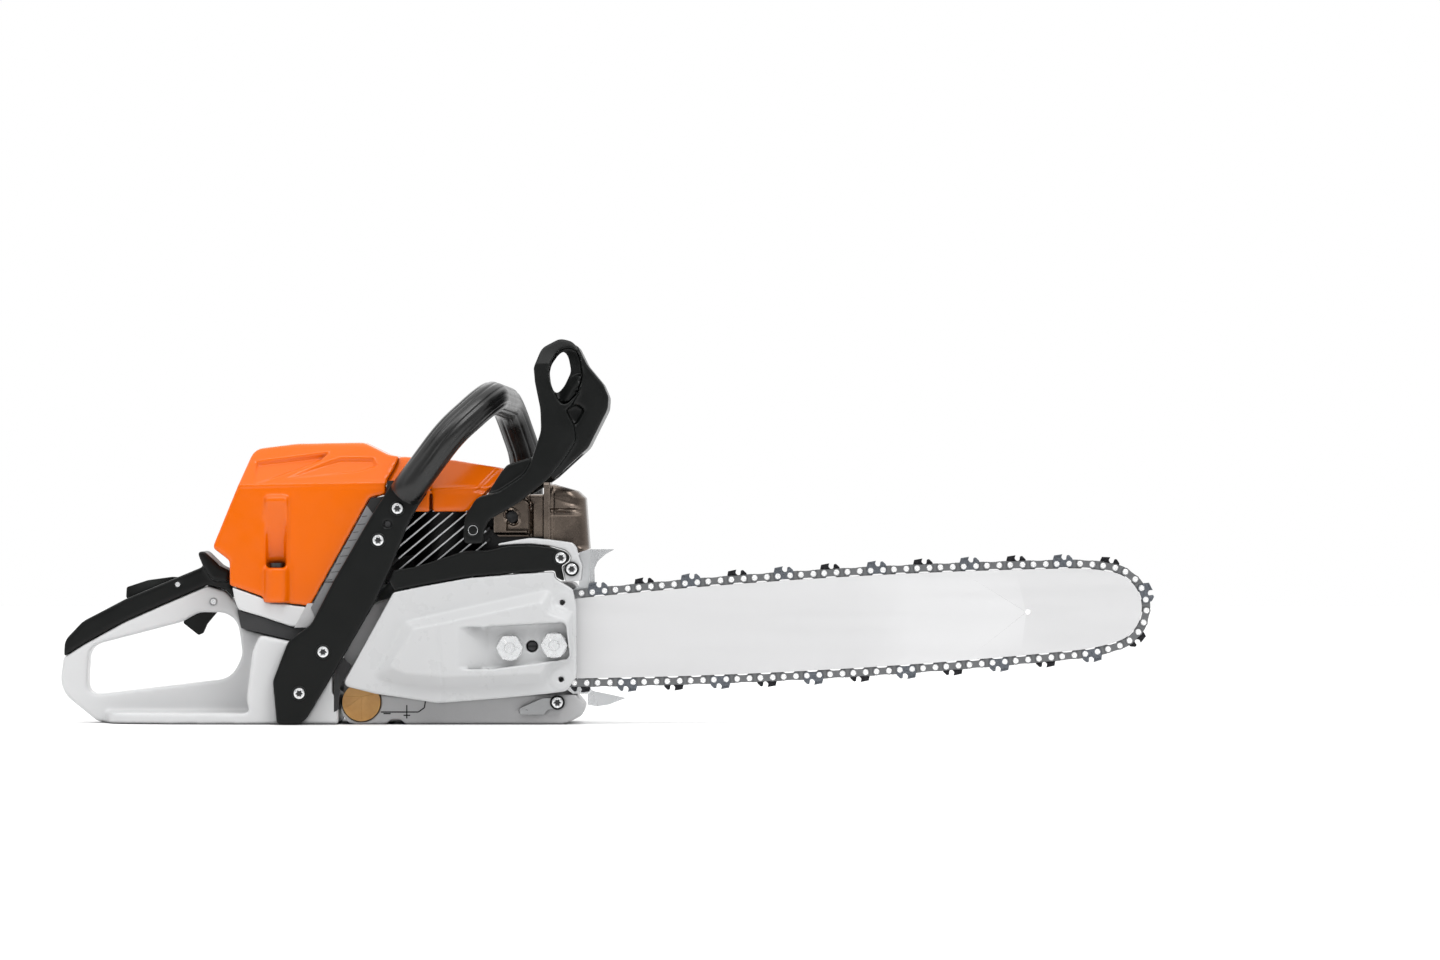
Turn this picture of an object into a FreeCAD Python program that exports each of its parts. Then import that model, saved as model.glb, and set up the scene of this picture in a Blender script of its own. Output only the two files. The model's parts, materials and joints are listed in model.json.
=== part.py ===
"""Chainsaw with a 40 cm bar: a parametric assembly of separate pieces.

Millimetres, +Z up.  The origin lies on the ground plane, straight below the crank axis and on
the mid plane of the engine.  +X points along the bar to its nose, -Y is the side with the
chain drive and +Y is the side with the starter.
"""
import FreeCAD, Part
import math
import os
import re

os.makedirs("parts", exist_ok=True)

vec = FreeCAD.Vector
doc = FreeCAD.newDocument("chainsaw")
sheet = doc.addObject("Spreadsheet::Sheet", "dims")

# Driving dimensions, one cell and one alias each.
DIMENSIONS = {
    # crank train
    "crank_height": 63.8, "crank_throw": 17, "rod_length": 56, "web_radius": 33,
    "shaft_radius": 8, "drive_end_radius": 6, "bore_radius": 25, "barrel_radius": 31,
    "bearing_radius": 20, "bearing_width": 10, "chamber_radius": 36, "chamber_half": 17,
    # crankcase and tanks
    "case_near": -46.5, "case_far": 38, "sole_near": -55.7, "sole_far": 36, "sole_top": 24,
    "bar_pad": -49.9, "front_step": -44.4, "recess_radius": 43, "recess_floor": -33,
    # bar and chain
    "bar_tilt": 3.36, "bar_plane": -52, "bar_thickness": 4.2, "groove_width": 1.7,
    "groove_depth": 8, "bar_tail": 34, "nose_centre": 542, "nose_radius": 33.35,
    "sprocket_pitch_radius": 21.3, "strand_slope": 8.5, "crown_top": 41.5, "crown_peak": 322,
    "crown_radius": 4700, "shoulder_radius": 170, "entry_radius": 260, "rail_drop": 3.9,
    "rivet_count": 132, "strap_rivets": 10.1, "link_gauge": 1.5, "strap_gauge": 1.25,
    "rivet_radius": 1.8, "stud_radius": 4, "stud_reach": -79,
    # clutch and brake
    "drum_radius": 36, "drum_wall": 1.8, "drum_face": -47.4, "drum_mouth": -37.5,
    "rim_radius": 17.4, "rim_bore": 10.05,
    # sprocket cover and brake cover
    "cover_rim": -57, "cover_face": -72, "cover_bulge": -81, "cover_panel": -68.5,
    "cover_skin": 2.5, "clamp_face": -54.1, "brake_near": -72, "brake_far": -47,
    # top covers
    "hood_half": 60, "hood_ridge_half": 33, "hood_shoulder": 196, "hood_top": 232,
    "hood_skin": 2.6, "shroud_half": 57, "shroud_ridge_half": 32, "shroud_top": 221,
    # handles
    "grip_near": -12, "grip_far": 22, "tank_near": -62, "tank_far": 58, "tank_skin": 3,
    "leg_near": -74, "leg_far": -62, "tube_radius": 13.5, "tube_near": -75, "tube_far": 108,
    "trigger_width": 8, "slot_clearance": 0.6,
    # hand guard
    "guard_near": -76, "guard_far": 68, "guard_pin": 4, "guard_plate": 7,
    # starter side
    "flywheel_radius": 48, "starter_far": 90, "starter_skin": 3, "pulley_radius": 24,
    # running clearance of shafts and pins
    "fit": 0.05,
}
for row, (alias, number) in enumerate(DIMENSIONS.items(), 1):
    sheet.set(f"A{row}", alias)
    sheet.set(f"B{row}", str(number))
    sheet.setAlias(f"B{row}", alias)
doc.recompute()

NODES = {}


# ---------------------------------------------------------------- helpers
def size(alias):
    """Number in the sheet under an alias."""
    return float(sheet.get(alias))


def bind(item, prop, formula):
    """Bind a property to a formula whose words are aliases of the sheet."""
    item.setExpression(prop, re.sub(r"[a-z_]{2,}", lambda word: "dims." + word.group(), str(formula)))


def node(name, item):
    """Give a finished piece its name and list it for writing."""
    item.Label = name
    NODES[name] = item
    return item


def unit(vector):
    return vector.multiply(1 / vector.Length) if vector.Length else vector


def rounded(points):
    """Closed loop of lines from (x, y) or (x, y, radius) corners, each radius a tangent arc."""
    corners = [vec(point[0], point[1], 0) for point in points]
    radii = [point[2] if len(point) > 2 else 0 for point in points]
    count = len(corners)
    ends = []
    for index, corner in enumerate(corners):
        back = corners[index - 1] - corner
        ahead = corners[(index + 1) % count] - corner
        room = 0.48 * min(back.Length, ahead.Length)
        back, ahead = unit(back), unit(ahead)
        half = math.acos(max(-1, min(1, back.dot(ahead)))) / 2
        if not radii[index] or half > 1.55:
            ends.append((corner, None, corner))
            continue
        reach = min(radii[index] / math.tan(half), room)
        radius = reach * math.tan(half)
        middle = corner + unit(back + ahead) * (radius / math.sin(half) - radius)
        ends.append((corner + back * reach, middle, corner + ahead * reach))
    edges = []
    for index, (start, middle, finish) in enumerate(ends):
        if middle is not None:
            edges.append(Part.Arc(start, middle, finish))
        following = ends[(index + 1) % count][0]
        if finish.distanceToPoint(following) > 1e-6:
            edges.append(Part.LineSegment(finish, following))
    return edges


def circle(x, y, radius):
    return [Part.Circle(vec(x, y, 0), vec(0, 0, 1), radius)]


def body_with_sketch(name, plane, loops):
    body = doc.addObject("PartDesign::Body", name)
    sketch = body.newObject("Sketcher::SketchObject", name + "_sketch")
    support = [item for item in body.Origin.OriginFeatures if item.Role == plane][0]
    sketch.AttachmentSupport = (support, [""])
    sketch.MapMode = "FlatFace"
    for loop in loops:
        sketch.addGeometry(loop, False)
    return body, sketch


def pad(name, plane, loops, low, high):
    """Body padded from one level to another, across the given origin plane."""
    body, sketch = body_with_sketch(name, plane, loops)
    across = plane == "XZ_Plane"
    bind(sketch, "AttachmentOffset.Base.z", f"-({high})" if across else f"({low})")
    feature = body.newObject("PartDesign::Pad", name + "_pad")
    feature.Profile = sketch
    bind(feature, "Length", f"({high}) - ({low})")
    return body


def plate(name, points, near, far, holes=()):
    """Outline in side view (x, z), padded across the saw from y near to y far."""
    loops = [rounded(points)] + [circle(*hole) if isinstance(hole, tuple) else rounded(hole)
                                 for hole in holes]
    return pad(name, "XZ_Plane", loops, near, far)


def section(name, points, back, front):
    """Outline in front view (y, z), padded along the saw from x back to x front."""
    return pad(name, "YZ_Plane", [rounded(points)], back, front)


def plan(name, points, low, high):
    """Outline in plan (x, y), padded upwards."""
    return pad(name, "XY_Plane", [rounded(points)], low, high)


def block(name, x, y, z):
    """Box between pairs of formulas."""
    item = doc.addObject("Part::Box", name)
    for prop, axis, (low, high) in (("Length", "x", x), ("Width", "y", y), ("Height", "z", z)):
        bind(item, prop, f"({high}) - ({low})")
        bind(item, "Placement.Base." + axis, f"({low})")
    return item


TURNS = {"x": FreeCAD.Rotation(vec(0, 1, 0), 90), "y": FreeCAD.Rotation(vec(1, 0, 0), -90),
         "z": FreeCAD.Rotation()}


def rod(name, axis, centre, radius, low, high):
    """Cylinder along x, y or z; centre holds the two other coordinates in order."""
    item = doc.addObject("Part::Cylinder", name)
    item.Placement = FreeCAD.Placement(vec(), TURNS[axis])
    bind(item, "Radius", radius)
    bind(item, "Height", f"({high}) - ({low})")
    others = [letter for letter in "xyz" if letter != axis]
    bind(item, "Placement.Base." + axis, f"({low})")
    for letter, place in zip(others, centre):
        bind(item, "Placement.Base." + letter, f"({place})")
    return item


CRANK = (0, "crank_height")


def fuse(name, *items):
    item = doc.addObject("Part::MultiFuse", name)
    item.Shapes = list(items)
    return item


def cut(name, base, *tools):
    item = doc.addObject("Part::Cut", name)
    item.Base = base
    item.Tool = tools[0] if len(tools) == 1 else fuse(name + "_tools", *tools)
    return item


def common(name, first, second):
    item = doc.addObject("Part::Common", name)
    item.Base = first
    item.Tool = second
    return item


def ring(name, axis, centre, inner, outer, low, high):
    return cut(name, rod(name + "_outer", axis, centre, outer, low, high),
               rod(name + "_inner", axis, centre, inner, f"{low} - 1", f"{high} + 1"))


def feature(name, shape):
    """Piece whose shape is made with Part's own functions."""
    item = doc.addObject("Part::Feature", name)
    item.Shape = shape
    item.Placement = FreeCAD.Placement()
    return item


def group(name, items):
    """Separate solids that share one node."""
    item = doc.addObject("Part::Compound", name)
    item.Links = list(items)
    return item


def inset(points, gap):
    """Outline moved inwards by a gap, corner by corner."""
    area = sum(points[i - 1][0] * points[i][1] - points[i][0] * points[i - 1][1]
               for i in range(len(points)))
    side = 1 if area > 0 else -1
    moved = []
    for index, point in enumerate(points):
        before, after = points[index - 1], points[(index + 1) % len(points)]
        first = unit(vec(point[0] - before[0], point[1] - before[1], 0))
        second = unit(vec(after[0] - point[0], after[1] - point[1], 0))
        bisector = vec(-first.y - second.y, first.x + second.x, 0) * side
        stretch = 2 / max(0.35, bisector.dot(bisector))
        moved.append((point[0] + bisector.x * gap * stretch, point[1] + bisector.y * gap * stretch)
                     + tuple(max(0.3, radius - gap) for radius in point[2:]))
    return moved


def hex_corners(x, z, flats):
    reach = flats / math.sqrt(3)
    return [(x + reach * math.cos(math.radians(60 * k)), z + reach * math.sin(math.radians(60 * k)))
            for k in range(6)]


# ---------------------------------------------------------------- crankcase
CASE = [(-84, 23.5), (-84, 60, 10), (-62, 98, 8), (-44, 104), (40, 104), (44, 116, 4), (108, 116, 6),
        (108, 23.5)]
SOLE = [(-86, 10, 4), (-79, 0, 5), (-47.5, 0, 1), (-46, 3.5, 0.8), (-35.5, 3.5, 0.8), (-34, 0, 1),
        (98, 0, 8), (112, 7, 6), (115, 15, 4), (107, 24), (-84, 24)]
STUDS = ((52.9, 62.9), (89.3, 65.05))
TENSIONER = (71.1, 64)
SLIDER_PIN = (75.0, 79.2)


def crank_bores(prefix, side):
    """Chamber, bearing seat and shaft bore of one crankcase half; side is -1 or 1."""
    levels = {-1: ("-chamber_half", "0.0"), 1: ("0.0", "chamber_half")}[side]
    seat = {-1: ("-chamber_half - bearing_width - 1", "-chamber_half"),
            1: ("chamber_half", "chamber_half + bearing_width + 1")}[side]
    bore = {-1: ("case_near - 1", "-chamber_half"), 1: ("chamber_half", "case_far + 1")}[side]
    return [rod(prefix + "_chamber", "y", CRANK, "chamber_radius", *levels),
            rod(prefix + "_seat", "y", CRANK, "bearing_radius + fit", *seat),
            rod(prefix + "_bore", "y", CRANK, 10, *bore),
            rod(prefix + "_throat", "z", (0, 0), "bore_radius + 2", "crank_height + 20", 106)]


def crankcase_right():
    case = plate("case_right_half", CASE, "case_near", 0)
    sole = plate("oil_tank_sole", SOLE, "sole_near", "sole_far")
    bar_pad = plate("bar_pad_plate", [(42, 51, 5), (94.8, 54, 5), (94.8, 89, 5), (42, 84, 5)],
                    "bar_pad", "case_near")
    oil_room = block("oil_room", (-76, 88), ("sole_near + 4", "sole_far - 4"), (4, "sole_top - 5"))
    tools = crank_bores("right", -1)
    tools.append(rod("clutch_recess", "y", CRANK, "recess_radius", "sole_near - 1", "recess_floor"))
    tools.append(block("front_step_cut", (95, 109), ("case_near - 1", "front_step"), (24.1, 120)))
    tools.append(rod("oil_filler", "y", (76, 12), 8, "sole_far - 5", "sole_far + 1"))
    tools.append(block("slider_pocket", (59, 83), ("bar_pad - 1", -41), (74.6, 83.8)))
    tools.append(rod("tensioner_bore", "y", TENSIONER, 5, "bar_pad - 1", -42))
    tools.append(rod("plug_recess", "y", (-69, 18), 15.9, "sole_near - 1", "sole_near + 6"))
    for index, stud in enumerate(STUDS):
        tools.append(rod(f"stud_hole_{index}", "y", stud, "stud_radius + fit", "bar_pad - 1", -30))
    node("crankcase_right", cut("crankcase_right", fuse("right_blank", case, sole, bar_pad),
                                oil_room, *tools))


def crankcase_left():
    blank = plate("case_left_half", CASE, 0, "case_far")
    clear = block("sole_clearance", (-90, 110), (-1, "case_far + 1"), (0, "sole_top + 0.2"))
    node("crankcase_left", cut("crankcase_left", blank, clear, *crank_bores("left", 1)))


def bearings_and_shaft():
    rings = [ring("right_bearing", "y", CRANK, "shaft_radius + fit", "bearing_radius",
                  "-chamber_half - bearing_width", "-chamber_half - 0.2"),
             ring("left_bearing", "y", CRANK, "shaft_radius + fit", "bearing_radius",
                  "chamber_half + 0.2", "chamber_half + bearing_width")]
    node("main_bearings", group("main_bearings", rings))
    right = fuse("right_shaft", rod("right_web", "y", CRANK, "web_radius", -15.5, -6.5),
                 rod("right_journal", "y", CRANK, "shaft_radius", -37, -15),
                 rod("drive_end", "y", CRANK, "drive_end_radius", -62, -36))
    left = fuse("left_shaft", rod("left_web", "y", CRANK, "web_radius", 6.5, 15.5),
                rod("left_journal", "y", CRANK, "shaft_radius", 15, 60))
    node("crankshaft", group("crankshaft", [right, left]))


def piston_and_rod():
    pin_height = "crank_height + crank_throw + rod_length"
    big = ring("big_end", "y", (0, "crank_height + crank_throw"), "7 + fit", 12.5, -5, 5)
    small = ring("small_end", "y", (0, pin_height), "5 + fit", 9, -5, 5)
    shank = block("rod_shank", (-4.5, 4.5), (-3, 3), ("crank_height + crank_throw + 11.5",
                                                      "crank_height + 65"))
    node("connecting_rod", fuse("connecting_rod", big, small, shank))
    pins = [rod("crankpin", "y", (0, "crank_height + crank_throw"), 7, -6.1, 6.1),
            rod("piston_pin", "y", (0, pin_height), 5, -22, 22)]
    node("engine_pins", group("engine_pins", pins))
    skirt = rod("piston_blank", "z", (0, 0), "bore_radius - fit", f"{pin_height} - 17",
                f"{pin_height} + 15")
    hollow = rod("piston_hollow", "z", (0, 0), "bore_radius - 4", f"{pin_height} - 18",
                 f"{pin_height} + 10")
    bore = rod("piston_pin_bore", "y", (0, pin_height), "5 + fit", -30, 30)
    node("piston", cut("piston", skirt, hollow, bore))


def cylinder():
    """Upright barrel with cooling fins cast obliquely across it, and its two ports."""
    fin_angle, fin_pitch, fin_gauge = -40, 7.2, 1.9
    fins = []
    for index in range(-6, 7):
        fin = doc.addObject("Part::Box", f"fin_{index + 6}")
        fin.Length, fin.Width, fin.Height = 150, 90, fin_gauge
        turn = FreeCAD.Rotation(vec(0, 1, 0), fin_angle)
        offset = turn.multVec(vec(-75, -45, index * fin_pitch))
        fin.Placement = FreeCAD.Placement(vec(-5, 0, 144) + offset, turn)
        fins.append(fin)
    envelope = plate("fin_envelope", [(-45, 113), (-45, 162, 4), (-29, 176, 4), (28, 176, 4), (36, 168),
                                      (36, 113)], -44, 37.5)
    stack = common("fin_stack", fuse("fin_plates", *fins), envelope)
    barrel = rod("barrel", "z", (0, 0), "barrel_radius", 104, 174)
    flange = block("barrel_flange", (-36, 36), (-34, 34), (104, 110))
    exhaust = block("exhaust_port", (25, 38.6), (-14, 14), (156, 172))
    intake = block("intake_port", (-50, -25), (-15, 15), (116, 138))
    blank = fuse("cylinder_blank", stack, barrel, flange, exhaust, intake)
    bore = rod("cylinder_bore", "z", (0, 0), "bore_radius", 103, 160)
    plug_hole = fuse("plug_hole", rod("plug_thread_hole", "z", (0, 0), 7, 155, 176),
                     rod("plug_well", "z", (0, 0), 13, 173.9, 180))
    exhaust_hole = rod("exhaust_hole", "x", (0, 164), 6, 20, 40)
    intake_hole = rod("intake_hole", "x", (0, 127), 8, -51, -20)
    node("cylinder", cut("cylinder", blank, bore, plug_hole, exhaust_hole, intake_hole))
    thread = rod("plug_thread", "z", (0, 0), "7 - fit", 161, 174)
    nut = plan("plug_nut", hex_corners(0, 0, 19), 174.2, 184)
    tip = rod("plug_tip", "z", (0, 0), 5, 174, 190)
    node("spark_plug", fuse("spark_plug", thread, nut, tip))


# ---------------------------------------------------------------- muffler, intake and top covers
def muffler():
    rear = [(38.9, 156, 2), (38.9, 173, 2), (66, 184, 4), (80, 188.5), (80, 153.5), (66, 155, 4)]
    front = [(85.4, 147), (85.4, 196.4, 2), (108, 191, 5), (114.5, 185, 5), (118, 143, 4),
             (109.5, 139.9, 3)]
    rear_shell = cut("rear_shell_walls", plate("muffler_rear_blank", rear, -38, 38),
                     plate("muffler_rear_room", inset(rear, 1.6), -36.4, 36.4),
                     rod("muffler_inlet", "x", (0, 164), 6, 38, 45))
    front_shell = cut("front_shell_walls", plate("muffler_front_blank", front, -42, 42),
                      plate("muffler_front_room", inset(front, 1.6), -40.4, 40.4))
    seam = [(80.2, 144.5, 2), (80.2, 198, 2), (85.4, 198, 2), (85.4, 144.5, 2)]
    window = block("baffle_window", (79, 86), (-30, 30), (158, 182))
    seam_plate = cut("seam_plate", plate("seam_blank", seam, -44, 44), window)
    node("muffler_front_shell", fuse("muffler_front_shell", front_shell, seam_plate))
    outlet = plate("outlet_lobe", [(44, 163, 5), (44, 174, 5), (61, 177, 5), (63, 163, 5)], -42, -38)
    slot = plate("outlet_slot", [(49.5, 166, 2.4), (50.5, 170, 2.4), (57.5, 173, 2.4), (57.5, 166, 2.4)],
                 -43, -36)
    node("muffler_rear_shell", cut("muffler_rear_shell", fuse("muffler_outlet", rear_shell, outlet), slot))


HOOD = [(-176.8, 113.6), (-176.8, 133.9, 2), (-190.9, 144.6, 3), (-157.8, 225.5, 12),
        (-122.3, 230, 50), (-67.8, 231, 10), (-46.5, 220.4, 4), (-40, 219.4), (-48.3, 200),
        (-49.2, 187.8), (-61.6, 185.4, 5), (-110.6, 96.3), (-140, 100.1, 4), (-148.8, 103.7, 4)]


def roof_section(name, half, ridge_half, shoulder, top, back, front, drop=0):
    """Upright side walls that lean inwards above the shoulder, as seen from the front."""
    base = pad(name, "YZ_Plane",
               [rounded([(-half, 60), (-half, shoulder, 12), (-ridge_half, top, 14),
                         (ridge_half, top, 14), (half, shoulder, 12), (half, 60)])], back, front)
    base.Placement.Base.z = -drop
    return base


SCREW_PLACE = (-138.3, -55.5)


def filter_cover():
    half, ridge, shoulder, top = (size(alias) for alias in
                                  ("hood_half", "hood_ridge_half", "hood_shoulder", "hood_top"))
    skin = size("hood_skin")
    outer = common("hood_outer", plate("hood_side", HOOD, "-hood_half", "hood_half"),
                   roof_section("hood_section", half, ridge, shoulder, top, -200, -30))
    inner_side = inset(HOOD, skin)
    inner_side[0] = (-176.8 + skin, 100)
    inner_side[9] = (-46, 180)
    inner_side[10] = (-55, 172)
    inner_side[-3] = (-100, 88)
    inner_side[-2] = (-140, 92)
    inner_side[-1] = (-150, 95)
    inner = common("hood_inner", plate("hood_inner_side", inner_side, "hood_skin - hood_half",
                                       "hood_half - hood_skin"),
                   roof_section("hood_inner_section", half - skin, ridge - 1, shoulder - 1, top - skin,
                                -200, -30))
    well = plate("screw_well", [(-149, 126), (-149, 187, 10), (-128, 187, 10), (-128, 126)], "-hood_half",
                 -46.5)
    groove = plate("screw_groove", [(-146.5, 128.2), (-146.5, 184, 7.8), (-130.5, 184, 7.8),
                                    (-130.5, 128.2)],
                   "-hood_half - 1", -49)
    boss = rod("screw_boss", "z", SCREW_PLACE, 9.5, 104.3, 128.2)
    hole = rod("screw_shaft_hole", "z", SCREW_PLACE, 3.2, 90, 130)
    shell = cut("hood_shell", outer, inner)
    node("filter_cover", cut("filter_cover", fuse("hood_with_boss", shell, well, boss), groove, hole))
    head = rod("screw_head", "z", SCREW_PLACE, 6, 128.4, 132)
    slot = block("screw_slot", (-146, -131), (-56.4, -54.6), (130.8, 133))
    shank = rod("screw_shank", "z", SCREW_PLACE, 3, 100.3, 128.5)
    node("cover_screw", cut("cover_screw", fuse("cover_screw_blank", head, shank), slot))


SHROUD = [(-39, 219.6, 2), (5.5, 216.5, 40), (47.9, 209.5, 3), (47.1, 200, 6), (34.7, 191.7, 10),
          (18.2, 174, 3), (-25.6, 173.5, 3), (-43.3, 187.6), (-47.4, 200, 1)]


def cylinder_shroud():
    half, ridge, top = (size(alias) for alias in ("shroud_half", "shroud_ridge_half", "shroud_top"))
    skin = size("hood_skin")
    outer = common("shroud_outer", plate("shroud_side", SHROUD, "-shroud_half", "shroud_half"),
                   roof_section("shroud_section", half, ridge, 192, top, -60, 60))
    inner_side = inset(SHROUD, skin)
    inner_side[4] = (36, 189.5)
    inner_side[5] = (20, 168)
    inner_side[6] = (-27, 168)
    inner = common("shroud_inner", plate("shroud_inner_side", inner_side, "hood_skin - shroud_half",
                                         "shroud_half - hood_skin"),
                   roof_section("shroud_inner_section", half - skin, ridge - 1, 191, top - skin, -60, 60))
    slit = block("shroud_slit", (-13, -11), ("-shroud_half - 1", "-shroud_half + 4"), (170, 194))
    node("cylinder_shroud", cut("cylinder_shroud", outer, inner, slit))


def intake():
    carb = block("carb_body", (-98, -62.2), (-20, 20), (110, 146))
    throat = rod("carb_throat", "x", (0, 127), 8, -110, -60)
    flange = block("carb_flange", (-102, -98), (-26, 26), (106, 150))
    node("carburettor", cut("carburettor", fuse("carb_blank", carb, flange), throat))
    pleats = []
    for index in range(24):
        turn = math.radians(15 * index)
        outer_reach = 30 if index % 2 == 0 else 27
        pleats.append((outer_reach * math.cos(turn), 160 + outer_reach * math.sin(turn)))
    blank = section("filter_pleats", pleats, -166, -116)
    node("air_filter", cut("air_filter", blank, rod("filter_bore", "x", (0, 160), 17, -162, -110)))
    floor = [(-174.8, 112.4), (-148.8, 103), (-140, 99.4), (-110.6, 95.6), (-115.2, 85.1, 3),
             (-119, 80.6, 2),
             (-125.6, 79.7, 3), (-148.8, 87.6), (-169.6, 93.8), (-172.4, 100.6)]
    base = plate("filter_floor", floor, "-hood_half", "hood_half")
    wall = block("filter_wall", (-115.8, -102.2), (-40, 40), (94, 196))
    port = rod("filter_port", "x", (0, 127), 8, -120, -100)
    mouth = rod("filter_mouth", "x", (0, 160), 15, -120, -108)
    screw_hole = rod("floor_screw_hole", "z", SCREW_PLACE, 3.2, 92, 104)
    node("filter_base", cut("filter_base", fuse("filter_base_blank", base, wall), port, mouth, screw_hole))


def side_panel():
    """Light grey panel between the filter cover and the handle leg, with a dark pocket."""
    panel = [(-110, 95.6), (-61.2, 184.8), (-48.7, 187.2), (-47.6, 199.5, 2), (-38, 199.5), (-31, 186),
             (-48, 170), (-56, 130), (-84, 82), (-104, 82)]
    node("side_panel", plate("side_panel", panel, -61.2, -58.6))


# ---------------------------------------------------------------- starter side
STARTER = [(-80, 8, 18), (50, 8, 18), (68, 60, 40), (52, 128, 20), (-44, 128, 18), (-84, 84, 20)]


def starter():
    shell = cut("starter_shell", plate("starter_blank", STARTER, "case_far + 0.2", "starter_far"),
                plate("starter_room", inset(STARTER, 3), "case_far", "starter_far - starter_skin"))
    rim = ring("pulley_guard", "y", CRANK, 31, 33, 62, "starter_far - 2")
    post = rod("pulley_post", "y", CRANK, 5, 62, "starter_far - 2")
    slots = []
    for index in range(30):
        turn = 12 * index
        slot = doc.addObject("Part::Box", f"air_slot_{index}")
        slot.Length, slot.Width, slot.Height = 15, 8, 3.2
        turned = FreeCAD.Rotation(vec(0, 1, 0), turn)
        centre = vec(0, size("starter_far") - 6, size("crank_height"))
        slot.Placement = FreeCAD.Placement(centre + turned.multVec(vec(34.5, 0, -1.6)), turned)
        slots.append(slot)
    rope_hole = rod("rope_hole", "z", (-26.3, 69), 2.6, 120, 130)
    rim_gap = block("rope_gap", (-34, -24), (60, "starter_far - 3"), (66, 96))
    node("starter_housing", cut("starter_housing", fuse("starter_walls", shell, rim, post), *slots,
                                rope_hole, rim_gap))
    sheave = rod("sheave_blank", "y", CRANK, "pulley_radius", 64, 74)
    groove = ring("sheave_groove", "y", CRANK, "pulley_radius - 4", "pulley_radius + 1", 67, 71)
    node("starter_pulley", cut("starter_pulley", sheave, groove,
                               rod("sheave_bore", "y", CRANK, "5 + fit", 60, 80)))
    coils = [ring(f"spring_turn_{index}", "y", CRANK, 12 + 4 * index, 12.8 + 4 * index, 75.5, 82)
             for index in range(4)]
    node("rewind_spring", group("rewind_spring", coils))
    handle = pad("grip_bar", "XY_Plane", [rounded([(-50, 61, 6), (-2, 61, 6), (-2, 77, 6),
                                                   (-50, 77, 6)])], 142, 152)
    stem = rod("grip_stem", "z", (-26.3, 69), 8, 129, 143)
    rope = rod("starter_rope", "z", (-26.3, 69), 1.8, 64, 130)
    node("starter_grip", fuse("starter_grip", handle, stem, rope))


def flywheel():
    disc = rod("flywheel_disc", "y", CRANK, "flywheel_radius", 42, 49)
    hub = rod("flywheel_hub", "y", CRANK, 14, 42, 56)
    blades = []
    for index in range(20):
        blade = doc.addObject("Part::Box", f"blade_{index}")
        blade.Length, blade.Width, blade.Height = 17, 10, 2
        turn = FreeCAD.Rotation(vec(0, 1, 0), 18 * index)
        blade.Placement = FreeCAD.Placement(vec(0, 48, size("crank_height")) + turn.multVec(vec(30, 0,
                                                                                                -1)), turn)
        blades.append(blade)
    node("flywheel", cut("flywheel", fuse("flywheel_blank", disc, hub, *blades),
                         rod("flywheel_bore", "y", CRANK, "shaft_radius + fit", 40, 60)))
    legs = cut("module_legs", block("module_core", (-20, 20), (42, 50), (111, 122)),
               rod("module_arc", "y", CRANK, "flywheel_radius + 0.4", 40, 60),
               block("module_gap", (-9, 9), (40, 52), (108, 117)))
    node("ignition_module", legs)


# ---------------------------------------------------------------- chain drive
def clutch_and_brake():
    pump = fuse("pump_blank", rod("pump_disc", "y", CRANK, 20, -36.4, "recess_floor"),
                block("pump_arm", (14, 36), (-36.4, "recess_floor"), (58, 68)))
    node("oil_pump", cut("oil_pump", pump, rod("pump_bore", "y", CRANK, 8.6, -40, -30)))
    spokes = [block("hub_arm", (-4, 4), (-45, -38.2), ("crank_height - 19", "crank_height + 19")),
              block("hub_cross_arm", (-19, 19), (-45, -38.2), ("crank_height - 4", "crank_height + 4"))]
    hub = fuse("hub_blank", rod("hub_disc", "y", CRANK, 14, -45, -38.2), *spokes)
    hub = cut("clutch_hub", hub, rod("hub_bore", "y", CRANK, "drive_end_radius + fit", -47, -36))
    shoe_ring = ring("shoe_ring", "y", CRANK, 20, 33, -45, -38.2)
    gaps = []
    for index in range(3):
        gap = doc.addObject("Part::Box", f"shoe_gap_{index}")
        gap.Length, gap.Width, gap.Height = 40, 12, 3
        turn = FreeCAD.Rotation(vec(0, 1, 0), 120 * index + 20)
        gap.Placement = FreeCAD.Placement(vec(0, -47, size("crank_height")) + turn.multVec(vec(0, 0,
                                                                                               -1.5)), turn)
        gaps.append(gap)
    washer = ring("clip_washer", "y", CRANK, "drive_end_radius + fit", 11, -59.4, -57.4)
    node("clutch", group("clutch", [hub, cut("clutch_shoes", shoe_ring, *gaps), washer]))
    cup = cut("drum_cup", rod("drum_blank", "y", CRANK, "drum_radius", "drum_face", "drum_mouth"),
              rod("drum_room", "y", CRANK, "drum_radius - drum_wall", "drum_face + drum_wall",
                  "drum_mouth + 1"))
    drum_hub = rod("drum_hub", "y", CRANK, 10, -57, "drum_face + 0.5")
    node("clutch_drum", cut("clutch_drum", fuse("drum_solid", cup, drum_hub),
                            rod("drum_bore", "y", CRANK, "drive_end_radius + fit", -60, -40)))
    rim = ring("rim_blank", "y", CRANK, "rim_bore", "rim_radius", -55.8, -48.2)
    groove = ring("rim_groove", "y", CRANK, 13.4, "rim_radius + 2", -53, -51)
    scallops = []
    for index in range(7):
        turn = math.radians(360 / 7 * index)
        place = (17.8 * math.cos(turn), size("crank_height") + 17.8 * math.sin(turn))
        scallops.append(rod(f"scallop_{index}", "y", place, 2.4, -57, -47))
    node("rim_sprocket", cut("rim_sprocket", rim, groove, *scallops))
    band = ring("band_blank", "y", CRANK, "drum_radius + 0.5", "drum_radius + 1.6", -45.6, -38.6)
    node("brake_band", cut("brake_band", band, block("band_gap", (30, 40), (-47, -37), (70, 84))))


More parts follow.
